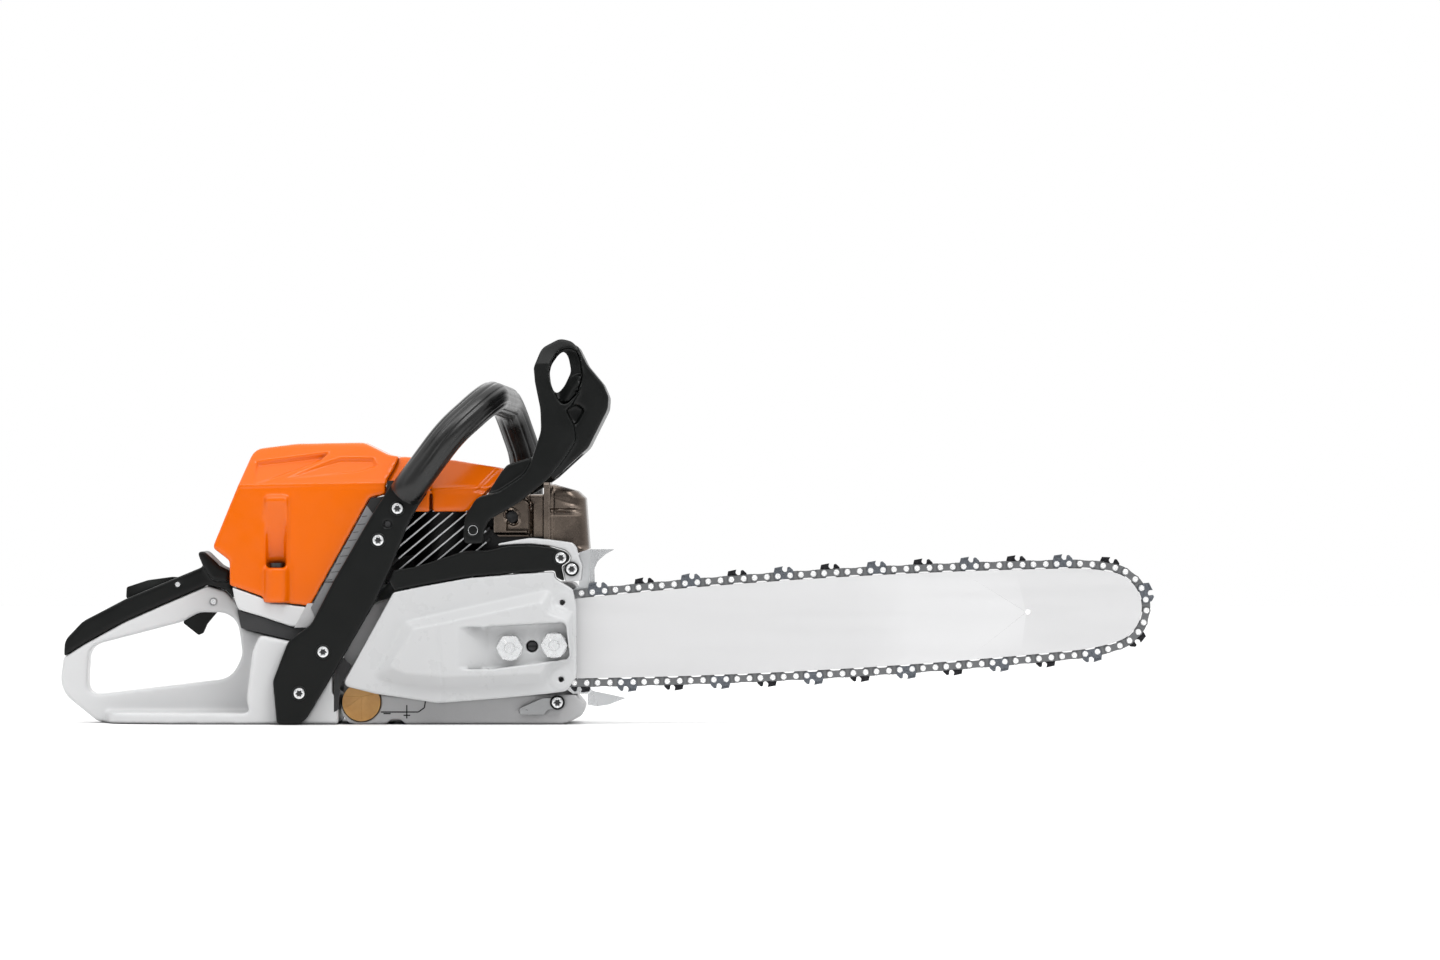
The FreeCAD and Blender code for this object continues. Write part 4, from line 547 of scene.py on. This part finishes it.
def post(shape, x, y, radius, low, high, foot=1.0):
    """Upright round post, narrower at its foot by a factor."""
    turns = [2 * math.pi * k / 40 for k in range(40)]
    solid(shape, [(x + radius * foot * math.cos(t), y + radius * foot * math.sin(t), low) for t in turns],
          [(x + radius * math.cos(t), y + radius * math.sin(t), high) for t in turns])


def add_to_filter_cover(shape):
    """The screw groove runs out upwards, and its boss stands proud below."""
    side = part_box("filter_cover")[0].y / MM
    ramp = [(side + 17.5, 132), (side + 17.5, 187), (side + 1.8, 187), (side + 0.9, 183), (side + 14, 133)]
    solid(shape, [(-147.5, y, z) for y, z in ramp], [(-129.5, y, z) for y, z in ramp])
    corner = [(side + 17, -131.5), (side + 7, -131.2), (side + 1.5, -129.6), (side + 17, -129.6)]
    solid(shape, [(x, y, 129) for y, x in corner], [(x, y, 186) for y, x in corner])
    post(shape, COVER_SCREW_X, side + 8.2, 11.2, 99.5, 128.2)


def add_to_filter_base(shape):
    """The screw boss goes on down the base and dies away."""
    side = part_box("filter_base")[0].y / MM
    post(shape, COVER_SCREW_X, side + 8.2, 10.4, 88, 99.5, 0.8)


def shape_sprocket_cover(mesh):
    """Split line, turned lands round the nuts and flat bosses at the two front corners."""
    bosses = [(95.9, 100), (95, 37.2)]
    near = min(vertex.co.y for vertex in mesh.vertices) / MM
    for vertex in mesh.vertices:
        x, y, z = (value / MM for value in vertex.co)
        if vertex.normal.y > -0.4 or y > near + 14:
            continue
        if 32 < z < 84:
            line = abs(side_of(x, z, (-7.4, 92), (-1.6, 32)))
            vertex.co.y += 0.7 * math.exp(-(line / 0.9) ** 2) * MM
        if y > near + 10:
            for nut in BAR_NUTS:
                vertex.co.y -= 0.9 * smooth_step(12.6 - math.hypot(x - nut[0], z - nut[1]), 0, 1) * MM
        for boss in bosses:
            rise = smooth_step(9.6 - math.hypot(x - boss[0], z - boss[1]), 0, 1.2)
            vertex.co.y -= 0.8 * rise * MM if y > near + 5 else 0


def shape_guard(mesh):
    """The rim leans away from its straight arm, and the wall under the opening slopes."""
    low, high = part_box("hand_guard")
    near, crown = low.y / MM, high.z / MM
    lean_from = crown - 20
    wall = [(90, 268), (97.3, 258.5), (107, 265), (116, 278), (116.5, 287), (103.5, 285)]
    for vertex in mesh.vertices:
        x, y, z = (value / MM for value in vertex.co)
        if y > near + 17:
            continue
        if z > lean_from and x < 111:
            vertex.co.y += 9 * ((z - lean_from) / (crown - lean_from)) ** 0.8 * (near + 18 - y) / 18 * MM
        if vertex.normal.y < -0.5 and y > near + 8:
            away = side_of(x, z, (102.5, 287.6), (90.1, 268.6))
            rise = smooth_step(away, 1, 11) * inside(x, z, wall, 1)
            vertex.co.y -= 6.5 * rise * MM


def shape_shroud(mesh):
    """Left edge runs up to the hood; a swept crease parts the crown from the dropping nose."""
    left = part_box("cylinder_shroud")[0].x / MM
    for vertex in mesh.vertices:
        x, y, z = (value / MM for value in vertex.co)
        if x < left + 12:
            vertex.co.x -= 1.6 * (1 - smooth_step(x, left + 4, left + 10)) * MM
        if abs(y) > 24 and z > 190:
            side = -1 if y < 0 else 1
            past = side_of(x, z, (22, 190), (47, 216))
            vertex.co.y -= side * 2.2 * smooth_step(-past, -0.6, 3) * MM
            vertex.co.y += side * 0.9 * math.exp(-((z - 193 - 0.03 * x) / 1.5) ** 2) * smooth_step(x, -20, -5) * MM


def shape_tank(mesh):
    """The tank's front foot reaches almost to the crankcase."""
    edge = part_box("tank_handle")[1].x
    gap = (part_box("crankcase_right")[0].x - edge) * 0.7
    for vertex in mesh.vertices:
        if vertex.co.x > edge - 3 * MM and vertex.co.z < 26 * MM:
            vertex.co.x += gap * smooth_step(26 - vertex.co.z / MM, 0, 4)


# ---------------------------------------------------------------- pieces
# node: voxel in mm, rounds of smoothing, function that moves the surface
MOULDED = {"filter_cover": (1.2, 8, shape_filter_cover), "cylinder_shroud": (1.2, 7, shape_shroud),
           "tank_handle": (1.6, 7, shape_tank), "handle_grip": (1.2, 5, None),
           "sprocket_cover": (1.1, 3, shape_sprocket_cover), "hand_guard": (1.1, 4, shape_guard),
           "handle_leg": (1.1, 4, None), "brake_cover": (1.0, 4, None), "brake_arch": (0.8, 4, None),
           "crankcase_right": (1.5, 4, None), "starter_housing": (1.3, 3, None), "filter_base": (1.3, 4, None)}
# closed forms joined to a moulded node before its edges are run round
ADDED = {"filter_cover": add_to_filter_cover, "filter_base": add_to_filter_base}
# bevel widths in metres that differ from the default
BEVELS = {"chain_tie_straps": 0, "chain_drive_links": 0, "chain_cutters": 0, "chain_rivets": 0, "bar_nuts": 0.0006,
          "cylinder": 0, "flywheel": 0, "trigger": 0.0012, "throttle_lock": 0.0012, "starter_grip": 0.0025,
          "fuel_cap": 0.0012, "oil_cap": 0.001, "air_filter": 0, "clutch": 0, "rim_sprocket": 0,
          "bumper_spike": 0.0007, "chain_catcher": 0.0008}
REBUILT = ("front_handle", "muffler_front_shell", "muffler_rear_shell", "torx_screws")


def strips(name, slot, lines, width, near, depth):
    """Thin straight ribs on a side face: each line is (x, z, x, z) in mm, all at one depth."""
    shape = bmesh.new()
    for x0, z0, x1, z1 in lines:
        start, end = Vector((x0, 0, z0)), Vector((x1, 0, z1))
        across = (end - start).normalized().cross(Vector((0, 1, 0))) * width / 2
        ring = [start + across, end + across, end - across, start - across]
        corners = [shape.verts.new((p.x * MM, (near + d) * MM, p.z * MM)) for d in (0, depth) for p in ring]
        for face in ((0, 1, 2, 3), (7, 6, 5, 4), (0, 4, 5, 1), (1, 5, 6, 2), (2, 6, 7, 3), (3, 7, 4, 0)):
            shape.faces.new([corners[k] for k in face])
    piece = new_piece(name, mesh_of(name, shape), "root", slot)
    edge = piece.modifiers.new("bevel", "BEVEL")
    edge.width, edge.segments = min(width, depth) * 0.25 * MM, 2


def fin_edges():
    """Machined bright edges of the cooling fins, cut to the cylinder's window."""
    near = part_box("cylinder")[0].y / MM
    tilt = math.radians(40)
    slope = math.tan(tilt)
    fin_step = 7.2 / math.cos(tilt)
    axis_x, middle_z = -5, 145.2
    left, right, floor, top = -39, 33, 120, 173
    lines = []
    for index in range(-6, 7):
        middle = middle_z + index * fin_step
        ends = []
        for x in (left, right):
            z = max(floor, min(top, middle + (x - axis_x) * slope))
            ends.append((axis_x + (z - middle) / slope, z))
        (x0, z0), (x1, z1) = ends
        if x1 - x0 > 5 and left - 0.1 <= x0 and x1 <= right + 0.1:
            lines.append((x0, z0, x1, z1))
    strips("fin_edges", "cast_aluminium", lines, 1.15, near - 0.35, 0.6)


def small_marks():
    """Level scale on the grey panel, seam under the cover, moulded ribs of the amber disc."""
    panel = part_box("side_panel")[0].y / MM
    ticks = []
    for index in range(9):
        z = 118 + index * 6.5
        x = -61.6 - (185.4 - z) * 0.55
        ticks.append((x + 1.5, z, x + 6 + (index % 2) * 2, z + 0.6))
    strips("panel_scale", "black_plastic", ticks, 0.45, panel - 0.12, 0.4)
    strips("panel_joint", "black_plastic", [(-99, 116.5, -84, 116.5)], 0.8, panel - 0.15, 0.4)
    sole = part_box("crankcase_right")[0].y / MM
    seam = [(-53.2, 9.9, -22.3, 9.9), (-22.3, 9.9, -17.4, 13.5), (-17.4, 13.5, -16.5, 19), (-31.8, 4.6, -31.8, 15.6),
            (-51, 8.6, -45, 8.6), (-34.5, 7.2, -29, 7.2)]
    strips("sole_seam", "black_plastic", seam, 1.0, sole - 0.15, 0.5)
    disc_low, disc_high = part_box("amber_plug")
    x, z = ((disc_low + disc_high) / 2 / MM).xz
    ribs = [(x, z + 4, x - 12, z - 4.5), (x, z + 4, x + 12.5, z + 7), (x, z + 4, x, z - 14),
            (x - 13, z + 4.5, x, z + 4)]
    strips("disc_ribs", "amber_rubber", ribs, 0.9, disc_low.y / MM - 0.4, 0.8)


def shell_loft(name, levels, left, right, half, corner, relief, *nodes):
    """Closed tin box: rings of constant height, flat at the left, rounded at the right, with pressed sides.

    left, right and half give the ends and half width at a height, and relief how far a side stands out.
    """
    shape = bmesh.new()
    rings = []
    for z in levels:
        start, end, wide = left(z), right(z), half(z)
        bend = min(corner, (end - start) * 0.45, wide * 0.9)
        steps = 48
        near = [(start + (end - bend - start) * k / steps, -wide) for k in range(steps + 1)]
        turns = [math.pi / 2 * k / 8 for k in range(1, 9)]
        rounded = [(end - bend + bend * math.sin(t), -wide + bend - bend * math.cos(t)) for t in turns]
        front = [(end, (-wide + bend) * (1 - k / 6)) for k in range(1, 6)]
        ring = near + rounded + front
        ring += [(x, -y) for x, y in reversed(ring)]
        placed = []
        for x, y in ring:
            side = -1 if y < 0 else 1
            flat = smooth_step(abs(y), wide - bend, wide)
            placed.append(shape.verts.new((x * MM, (y + side * relief(x, z, side) * flat) * MM, z * MM)))
        rings.append(placed)
    join_rings(shape, rings)
    finished(name, shape, "root", "muffler_steel", *nodes)


def between(value, points):
    """Straight-line interpolation through (value, result) pairs."""
    for (low, first), (high, second) in zip(points, points[1:]):
        if value <= high:
            return first + (second - first) * (value - low) / (high - low)
    return points[-1][1]


def muffler_shells():
    """Pressed steel silencer: rounded front shell with a wedge and bead, seam flange, rear shell with outlet."""
    low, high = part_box("muffler_front_shell")
    bottom, top = low.z / MM, high.z / MM
    seam_left, seam_right = low.x / MM, low.x / MM + 5.2

    def front_relief(x, z, side):
        wedge_top = 186.5 - (x - seam_right) * 0.352
        wedge_foot = 176.4 + (x - seam_right) * 0.043
        share = smooth_step(112 - x, 0, 3)
        wedge = 2.0 * max(0.0, min(1.0, (wedge_top - z) / max(0.5, wedge_top - wedge_foot)))
        wedge *= smooth_step(z, wedge_foot - 0.7, wedge_foot + 0.3)
        bead = 1.4 * math.exp(-((z - 173) / 1.1) ** 2)
        groove = 0.5 * math.exp(-((x - 88) / 0.8) ** 2)
        return (wedge + bead) * share - groove

    front_right = [(bottom, 110), (bottom + 3.2, 117.6), (185, 114.5), (191, 108), (196.4, 88)]
    front_left = [(bottom, 108), (147, seam_right - 0.1), (200, seam_right - 0.1)]
    levels = [bottom + (196.4 - bottom) * k / 70 for k in range(71)]
    shell_loft("muffler_front_pressed", levels, lambda z: between(z, front_left), lambda z: between(z, front_right),
               lambda z: 42 - 9 * (1 - math.sqrt(max(0.0, 1 - (max(0.0, z - 186) / 10.5) ** 2))), 13, front_relief,
               "muffler_front_shell")
    shell_loft("muffler_seam", [144.6, 145.4, 146.4, 170, 196, 197.2, top - 0.1], lambda z: seam_left,
               lambda z: seam_right,
               lambda z: 43.9 - 3 * max(0.0, (146.4 - z) / 1.8) - 3 * max(0.0, (z - 196) / 2), 1.2,
               lambda x, z, side: 0.0)
    rear_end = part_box("muffler_rear_shell")[1].x / MM - 0.05

    def rear_relief(x, z, side):
        plate = 1 - smooth_step(x, 49.5, 51)
        plate = max(plate, (1 - smooth_step(z, 158.3, 159.5)) * (1 - smooth_step(x, 66, 68)))
        bead = math.exp(-((x - 69.8 + 6 * smooth_step(z, 180, 187)) / 1.3) ** 2)
        lift = 3.8 * plate * smooth_step(z, 154.6, 157) + 3.2 * bead * (1 - plate) + 0.8 * (x < 69)
        away, above = x - OUTLET[0], z - OUTLET[1]
        oval = math.hypot((away * 0.9 + above * 0.45) / 4.4, (above * 0.9 - away * 0.45) / 5.6)
        rim = 1.2 * math.exp(-((oval - 1.12) / 0.16) ** 2)
        hole = 6 * (1 - smooth_step(oval, 0.8, 1.0))
        return lift + (rim - hole if side < 0 else 0)

    rear_left = [(153.5, 44), (156, 39.2), (175.5, 39.2), (188.5, 66)]
    levels = [153.6 + (188.3 - 153.6) * k / 60 for k in range(61)]
    shell_loft("muffler_rear_pressed", levels, lambda z: between(z, rear_left), lambda z: rear_end,
               lambda z: 38 - 3 * max(0.0, (z - 186.3) / 2) ** 2, 1.0, rear_relief, "muffler_rear_shell")


def outlet_bore():
    """Dark disc in the throat of the exhaust outlet, painted shade for the depth of the hole."""
    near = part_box("muffler_rear_shell")[0].y / MM
    bore = bmesh.new()
    lathe(bore, *OUTLET, [(0.6, near + 3.4, 0), (3.2, near + 2.6, 0), (4.6, near + 1.4, 0), (4.7, near + 4.5, 0)])
    finished("outlet_bore", bore, "root", "black_fins")


def islands(node):
    """Corner boxes in mm of a CAD node's separate solids."""
    shape = bmesh.new()
    shape.from_mesh(NODES[node].data)
    bmesh.ops.remove_doubles(shape, verts=shape.verts, dist=WELD_DISTANCE)
    waiting, boxes = set(shape.verts), []
    while waiting:
        stack, group = [waiting.pop()], []
        while stack:
            vertex = stack.pop()
            group.append(vertex.co / MM)
            for edge in vertex.link_edges:
                other = edge.other_vert(vertex)
                if other in waiting:
                    waiting.remove(other)
                    stack.append(other)
        boxes.append((Vector(min(p[k] for p in group) for k in range(3)),
                      Vector(max(p[k] for p in group) for k in range(3))))
    shape.free()
    return sorted(boxes, key=lambda box: tuple(box[0]))


def lathe(shape, x, z, profile, lobes=0.0):
    """Adds a turned form on an axis across the saw: profile of (radius, y, 1 where it is lobed) in mm."""
    around = 48
    rings = []
    for radius, y, lobed in profile:
        ring = []
        for k in range(around):
            turn = 2 * math.pi * k / around
            reach = radius * (1 + lobes * lobed * math.cos(6 * turn))
            place = Vector((x + reach * math.cos(turn), y, z + reach * math.sin(turn)))
            ring.append(shape.verts.new(place * MM))
        rings.append(ring)
    join_rings(shape, rings)


def star_screws():
    """Cap screws with six-lobed sockets, each sunk in a dark ring that paints the shade of its recess, dark socket
    floors as painted shade, and a dark plug that paints the shade in the leg's hole.
    """
    heads, recess_shade_rings, sockets = bmesh.new(), bmesh.new(), bmesh.new()
    for low, high in islands("torx_screws"):
        x, z = (low.x + high.x) / 2, (low.z + high.z) / 2
        face, tip = low.y, high.y
        lathe(heads, x, z, [(1.9, face + 1.7, 1), (2.3, face + 0.5, 1), (2.6, face + 0.15, 1), (3.7, face, 0),
                            (4.3, face + 0.25, 0), (4.6, face + 0.9, 0), (4.6, face + 2.1, 0), (2.5, face + 2.2, 0),
                            (2.5, tip, 0)], lobes=0.16)
        if tip - face > 5:
            # painted shade: a black ring round the head stands for the shade in its sunk recess
            lathe(recess_shade_rings, x, z, [(4.75, face + 2.3, 0), (4.8, face + 1.5, 0), (5.2, face + 1.2, 0),
                                (5.9, face + 1.5, 0), (6.1, face + 2.3, 0)])
        # painted shade: a dark disc on the socket's floor stands for the shade inside it
        lathe(sockets, x, z, [(0.3, face + 1.2, 0), (2.0, face + 1.3, 0), (2.1, face + 1.6, 0)])
    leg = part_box("handle_leg")[0].y / MM
    # painted shade: a dark plug in the leg's hole stands for the shade inside the hole
    lathe(sockets, *LEG_HOLE, [(0.4, leg + 3.6, 0), (2.6, leg + 3.4, 0), (3.3, leg + 2.2, 0),
                               (3.35, leg + 4.4, 0)])
    finished("star_screws", heads, "root", "zinc_steel", "torx_screws")
    finished("screw_seats", recess_shade_rings, "root", "black_plastic")
    finished("screw_sockets", sockets, "root", "dark_steel")


def slab(name, outline, near, far, slot):
    """Plate on the root body with a side outline of (x, z) in mm and softened edges."""
    shape = bmesh.new()
    solid(shape, [(x, near, z) for x, z in outline], [(x, far, z) for x, z in outline])
    piece = finished(name, shape, "root", slot)
    bevel = piece.modifiers.new("bevel", "BEVEL")
    bevel.width, bevel.segments, bevel.limit_method = 0.6 * MM, 3, "ANGLE"
    piece.modifiers.move(1, 0)


def small_covers():
    """Foot of the grey panel, a black heat plate under the muffler that also paints the shade beneath it, and cap
    over the guard's pivot pin.
    """
    low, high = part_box("side_panel")
    foot = [(-124, 79), (-104, 79), (-98, 92), (-103, 99), (-113, 99)]
    slab("panel_foot", foot, low.y / MM + 0.6, high.y / MM + 1.2, "grey_casting")
    low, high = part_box("muffler_rear_shell")
    near, end = low.y / MM, high.x / MM + 3
    # painted shade: a black plate behind the muffler's foot fills the dark under it
    slab("heat_deflector", [(29, 141), (end, 141), (end, 156), (42, 158.5), (29, 161)], near + 5, near + 7.5,
         "black_fins")
    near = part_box("hand_guard")[0].y / MM
    cap = bmesh.new()
    lathe(cap, *GUARD_PIN, [(0.5, near - 0.1, 0), (2.2, near - 0.08, 0), (3.3, near - 0.02, 0),
                            (3.6, near + 0.3, 0)])
    finished("guard_pin_cap", cap, "guard", "black_plastic")


def air_guide():
    """Black moulded guide that wraps the far side of the cylinder between the crankcase and the shroud; its black
    also stands in as painted shade behind the fins.
    """
    low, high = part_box("cylinder")
    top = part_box("cylinder_shroud")[0].z / MM
    left, right, far = low.x / MM - 1, high.x / MM - 1, high.y / MM
    shape = bmesh.new()
    rings = []
    outline = [(left, far - 22), (left, far - 2), (left + 3, far + 1), (left + 6, far + 1.8), (right - 6, far + 1.8),
               (right - 3, far + 1), (right, far - 2), (right, far - 22)]
    bottom = 117
    for index in range(17):
        z = bottom + (top - 0.5 - bottom) * index / 16
        wave = 0.35 * math.cos(index * math.pi)
        outer = [(x, y + wave) for x, y in outline]
        inner = [(x + (1.6 if x < 0 else -1.6), y - 1.6) for x, y in reversed(outline)]
        rings.append([shape.verts.new((x * MM, y * MM, z * MM)) for x, y in outer + inner])
    join_rings(shape, rings)
    finished("air_guide", shape, "root", "black_fins")


def handle_line():
    """Middle line of the front handle in mm: straight runs joined by arcs, with a point about every 4 mm."""
    low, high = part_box("front_handle")
    near, far = low.y / MM + HANDLE_RADIUS, high.y / MM - HANDLE_RADIUS
    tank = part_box("tank_handle")[1].y / MM
    corners = [Vector(p) for p in ((-28, near, 195), (4, near, 238.5), (36, near + 22, 268), (47, far - 24, 264),
                                   (62, far, 220), (66, far, 26), (-108, far, 24), (-108, tank, 24))]
    bends = [60, 34, 34, 50, 42, 28]
    line = [corners[0]]
    for before, corner, after, bend in zip(corners, corners[1:], corners[2:], bends):
        back = (before - corner).normalized()
        ahead = (after - corner).normalized()
        half = back.angle(ahead) / 2
        reach = bend / math.tan(half)
        start = corner + back * reach
        centre = corner + (back + ahead).normalized() * (bend / math.sin(half))
        axis = (start - centre).cross(corner + ahead * reach - centre).normalized()
        sweep = math.pi - 2 * half
        steps = max(4, int(bend * sweep / 2.5))
        for step in range(steps + 1):
            line.append(centre + Matrix.Rotation(sweep * step / steps, 3, axis) @ (start - centre))
    line.append(corners[-1])
    dense = []
    for first, second in zip(line, line[1:]):
        parts = max(1, int((second - first).length / 4))
        dense += [first.lerp(second, k / parts) for k in range(parts)]
    dense.append(line[-1])
    run = (corners[0] - corners[1]).normalized()
    root = [corners[0] + run * (2 * k) + Vector((0, 5 * smooth_step(k, 0, 4), 0)) for k in range(4, 0, -1)]
    return root + dense


def grip_tube():
    """Front handle: a round tube with moulded lengthwise ribs, along the CAD tube's own line."""
    line = handle_line()
    around, ribs = 96, 12
    shape = bmesh.new()
    across = Vector((0, -1, 0))
    rings = []
    for index, point in enumerate(line):
        along = (line[min(index + 1, len(line) - 1)] - line[max(index - 1, 0)]).normalized()
        across = (across - along * across.dot(along)).normalized()
        up = along.cross(across)
        ribbed = smooth_step(index, 5, 14) * smooth_step(point.z, 150, 165)
        ring = []
        for k in range(around):
            turn = 2 * math.pi * k / around
            groove = max(0.0, math.cos(turn * ribs)) ** 4
            reach = HANDLE_RADIUS - 0.02 - 0.75 * groove * ribbed
            ring.append(shape.verts.new((point + (across * math.cos(turn) + up * math.sin(turn)) * reach) * MM))
        rings.append(ring)
    join_rings(shape, rings)
    mesh = mesh_of("front_handle_ribbed", shape)
    shade_smooth(mesh)
    new_piece("front_handle_ribbed", mesh, "root", SLOT_OF["front_handle"], "front_handle")


def build_pieces():
    for node, (voxel, rounds, shape) in MOULDED.items():
        mould(node, voxel, rounds, shape, ADDED.get(node))
    grip_tube()
    muffler_shells()
    outlet_bore()
    star_screws()
    air_guide()
    small_covers()
    fin_edges()
    small_marks()
    for node in NODES:
        if node not in MOULDED and node not in REBUILT:
            dress(node)


# ---------------------------------------------------------------- stage, light and camera
def make_floor():
    """Plain pale floor."""
    size = 6.0
    mesh = bpy.data.meshes.new("floor")
    mesh.from_pydata([(-size, -size, 0), (size, -size, 0), (size, size, 0), (-size, size, 0)], [], [(0, 1, 2, 3)])
    floor = bpy.data.objects.new("floor", mesh)
    scene.collection.objects.link(floor)
    look = Shader("pale_floor")
    look.colour(look.mix(look.spread(look.noise(3, 3), 0, 1), (0.90, 0.90, 0.90), (0.92, 0.92, 0.92)))
    look.roughness(look.spread(look.noise(30, 3), 0.75, 0.85))
    mesh.materials.append(look.material)
    floor.location.z = -0.0003


def make_world():
    """Soft white surroundings: brighter above and behind for the light, even where the camera sees them."""
    world = bpy.data.worlds.new("studio")
    world.use_nodes = True
    nodes, links = world.node_tree.nodes, world.node_tree.links
    background = nodes["Background"]
    background.inputs["Color"].default_value = (1, 1, 1, 1)
    direction, axes = (nodes.new("ShaderNode" + kind) for kind in ("TexCoord", "SeparateXYZ"))
    links.new(direction.outputs["Generated"], axes.inputs["Vector"])
    total = nodes.new("ShaderNodeMath")
    for index, (axis, start, low, high) in enumerate((("Y", -1, 0.13, 1.0), ("Z", 0, 0.0, 1.0))):
        level = nodes.new("ShaderNodeMapRange")
        for socket, number in (("From Min", start), ("From Max", 1), ("To Min", low), ("To Max", high)):
            level.inputs[socket].default_value = number
        links.new(axes.outputs[axis], level.inputs["Value"])
        links.new(level.outputs["Result"], total.inputs[index])
    seen = nodes.new("ShaderNodeMix")
    factor, lit, plain = seen.inputs[0], seen.inputs[2], seen.inputs[3]
    plain.default_value = 1.0
    links.new(nodes.new("ShaderNodeLightPath").outputs["Is Camera Ray"], factor)
    links.new(total.outputs[0], lit)
    links.new(seen.outputs[0], background.inputs["Strength"])
    scene.world = world
    scene.view_settings.view_transform = "Standard"


def softbox(name, place, aim, width, height, power):
    """Rectangular light at a place in metres, facing another."""
    lamp = bpy.data.lights.new(name, "AREA")
    lamp.shape, lamp.size, lamp.size_y, lamp.energy = "RECTANGLE", width, height, power
    holder = bpy.data.objects.new(name, lamp)
    holder.location = place
    holder.rotation_euler = (Vector(aim) - Vector(place)).to_track_quat("-Z", "Y").to_euler()
    scene.collection.objects.link(holder)


def make_lights():
    """Key on the right, weak fill on the left, broad top light, and one behind."""
    middle = (0.0, 0.0, 0.12)
    softbox("key", (0.9, -1.5, 1.6), middle, 0.7, 0.8, 10)
    softbox("fill", (-1.7, -1.4, 0.8), (-0.1, 0, 0.1), 0.4, 1.2, 2)
    softbox("top", (-0.05, -0.85, 1.5), (-0.08, 0, 0.18), 2.2, 0.45, 12)
    softbox("back", (-0.3, 1.7, 1.3), middle, 1.4, 0.8, 3)


def make_camera():
    """Long lens, level and square to the chain side."""
    lens, distance = 200, 6.61
    camera = bpy.data.cameras.new("camera")
    camera.lens, camera.sensor_width = lens, 36
    camera.clip_start, camera.clip_end = 0.1, 50
    holder = bpy.data.objects.new("camera", camera)
    holder.location = (0.2248, -distance, 0.200)
    holder.rotation_euler = (math.radians(90), 0, 0)
    scene.collection.objects.link(holder)
    scene.camera = holder


make_floor()
make_world()
make_lights()
make_camera()
build_pieces()
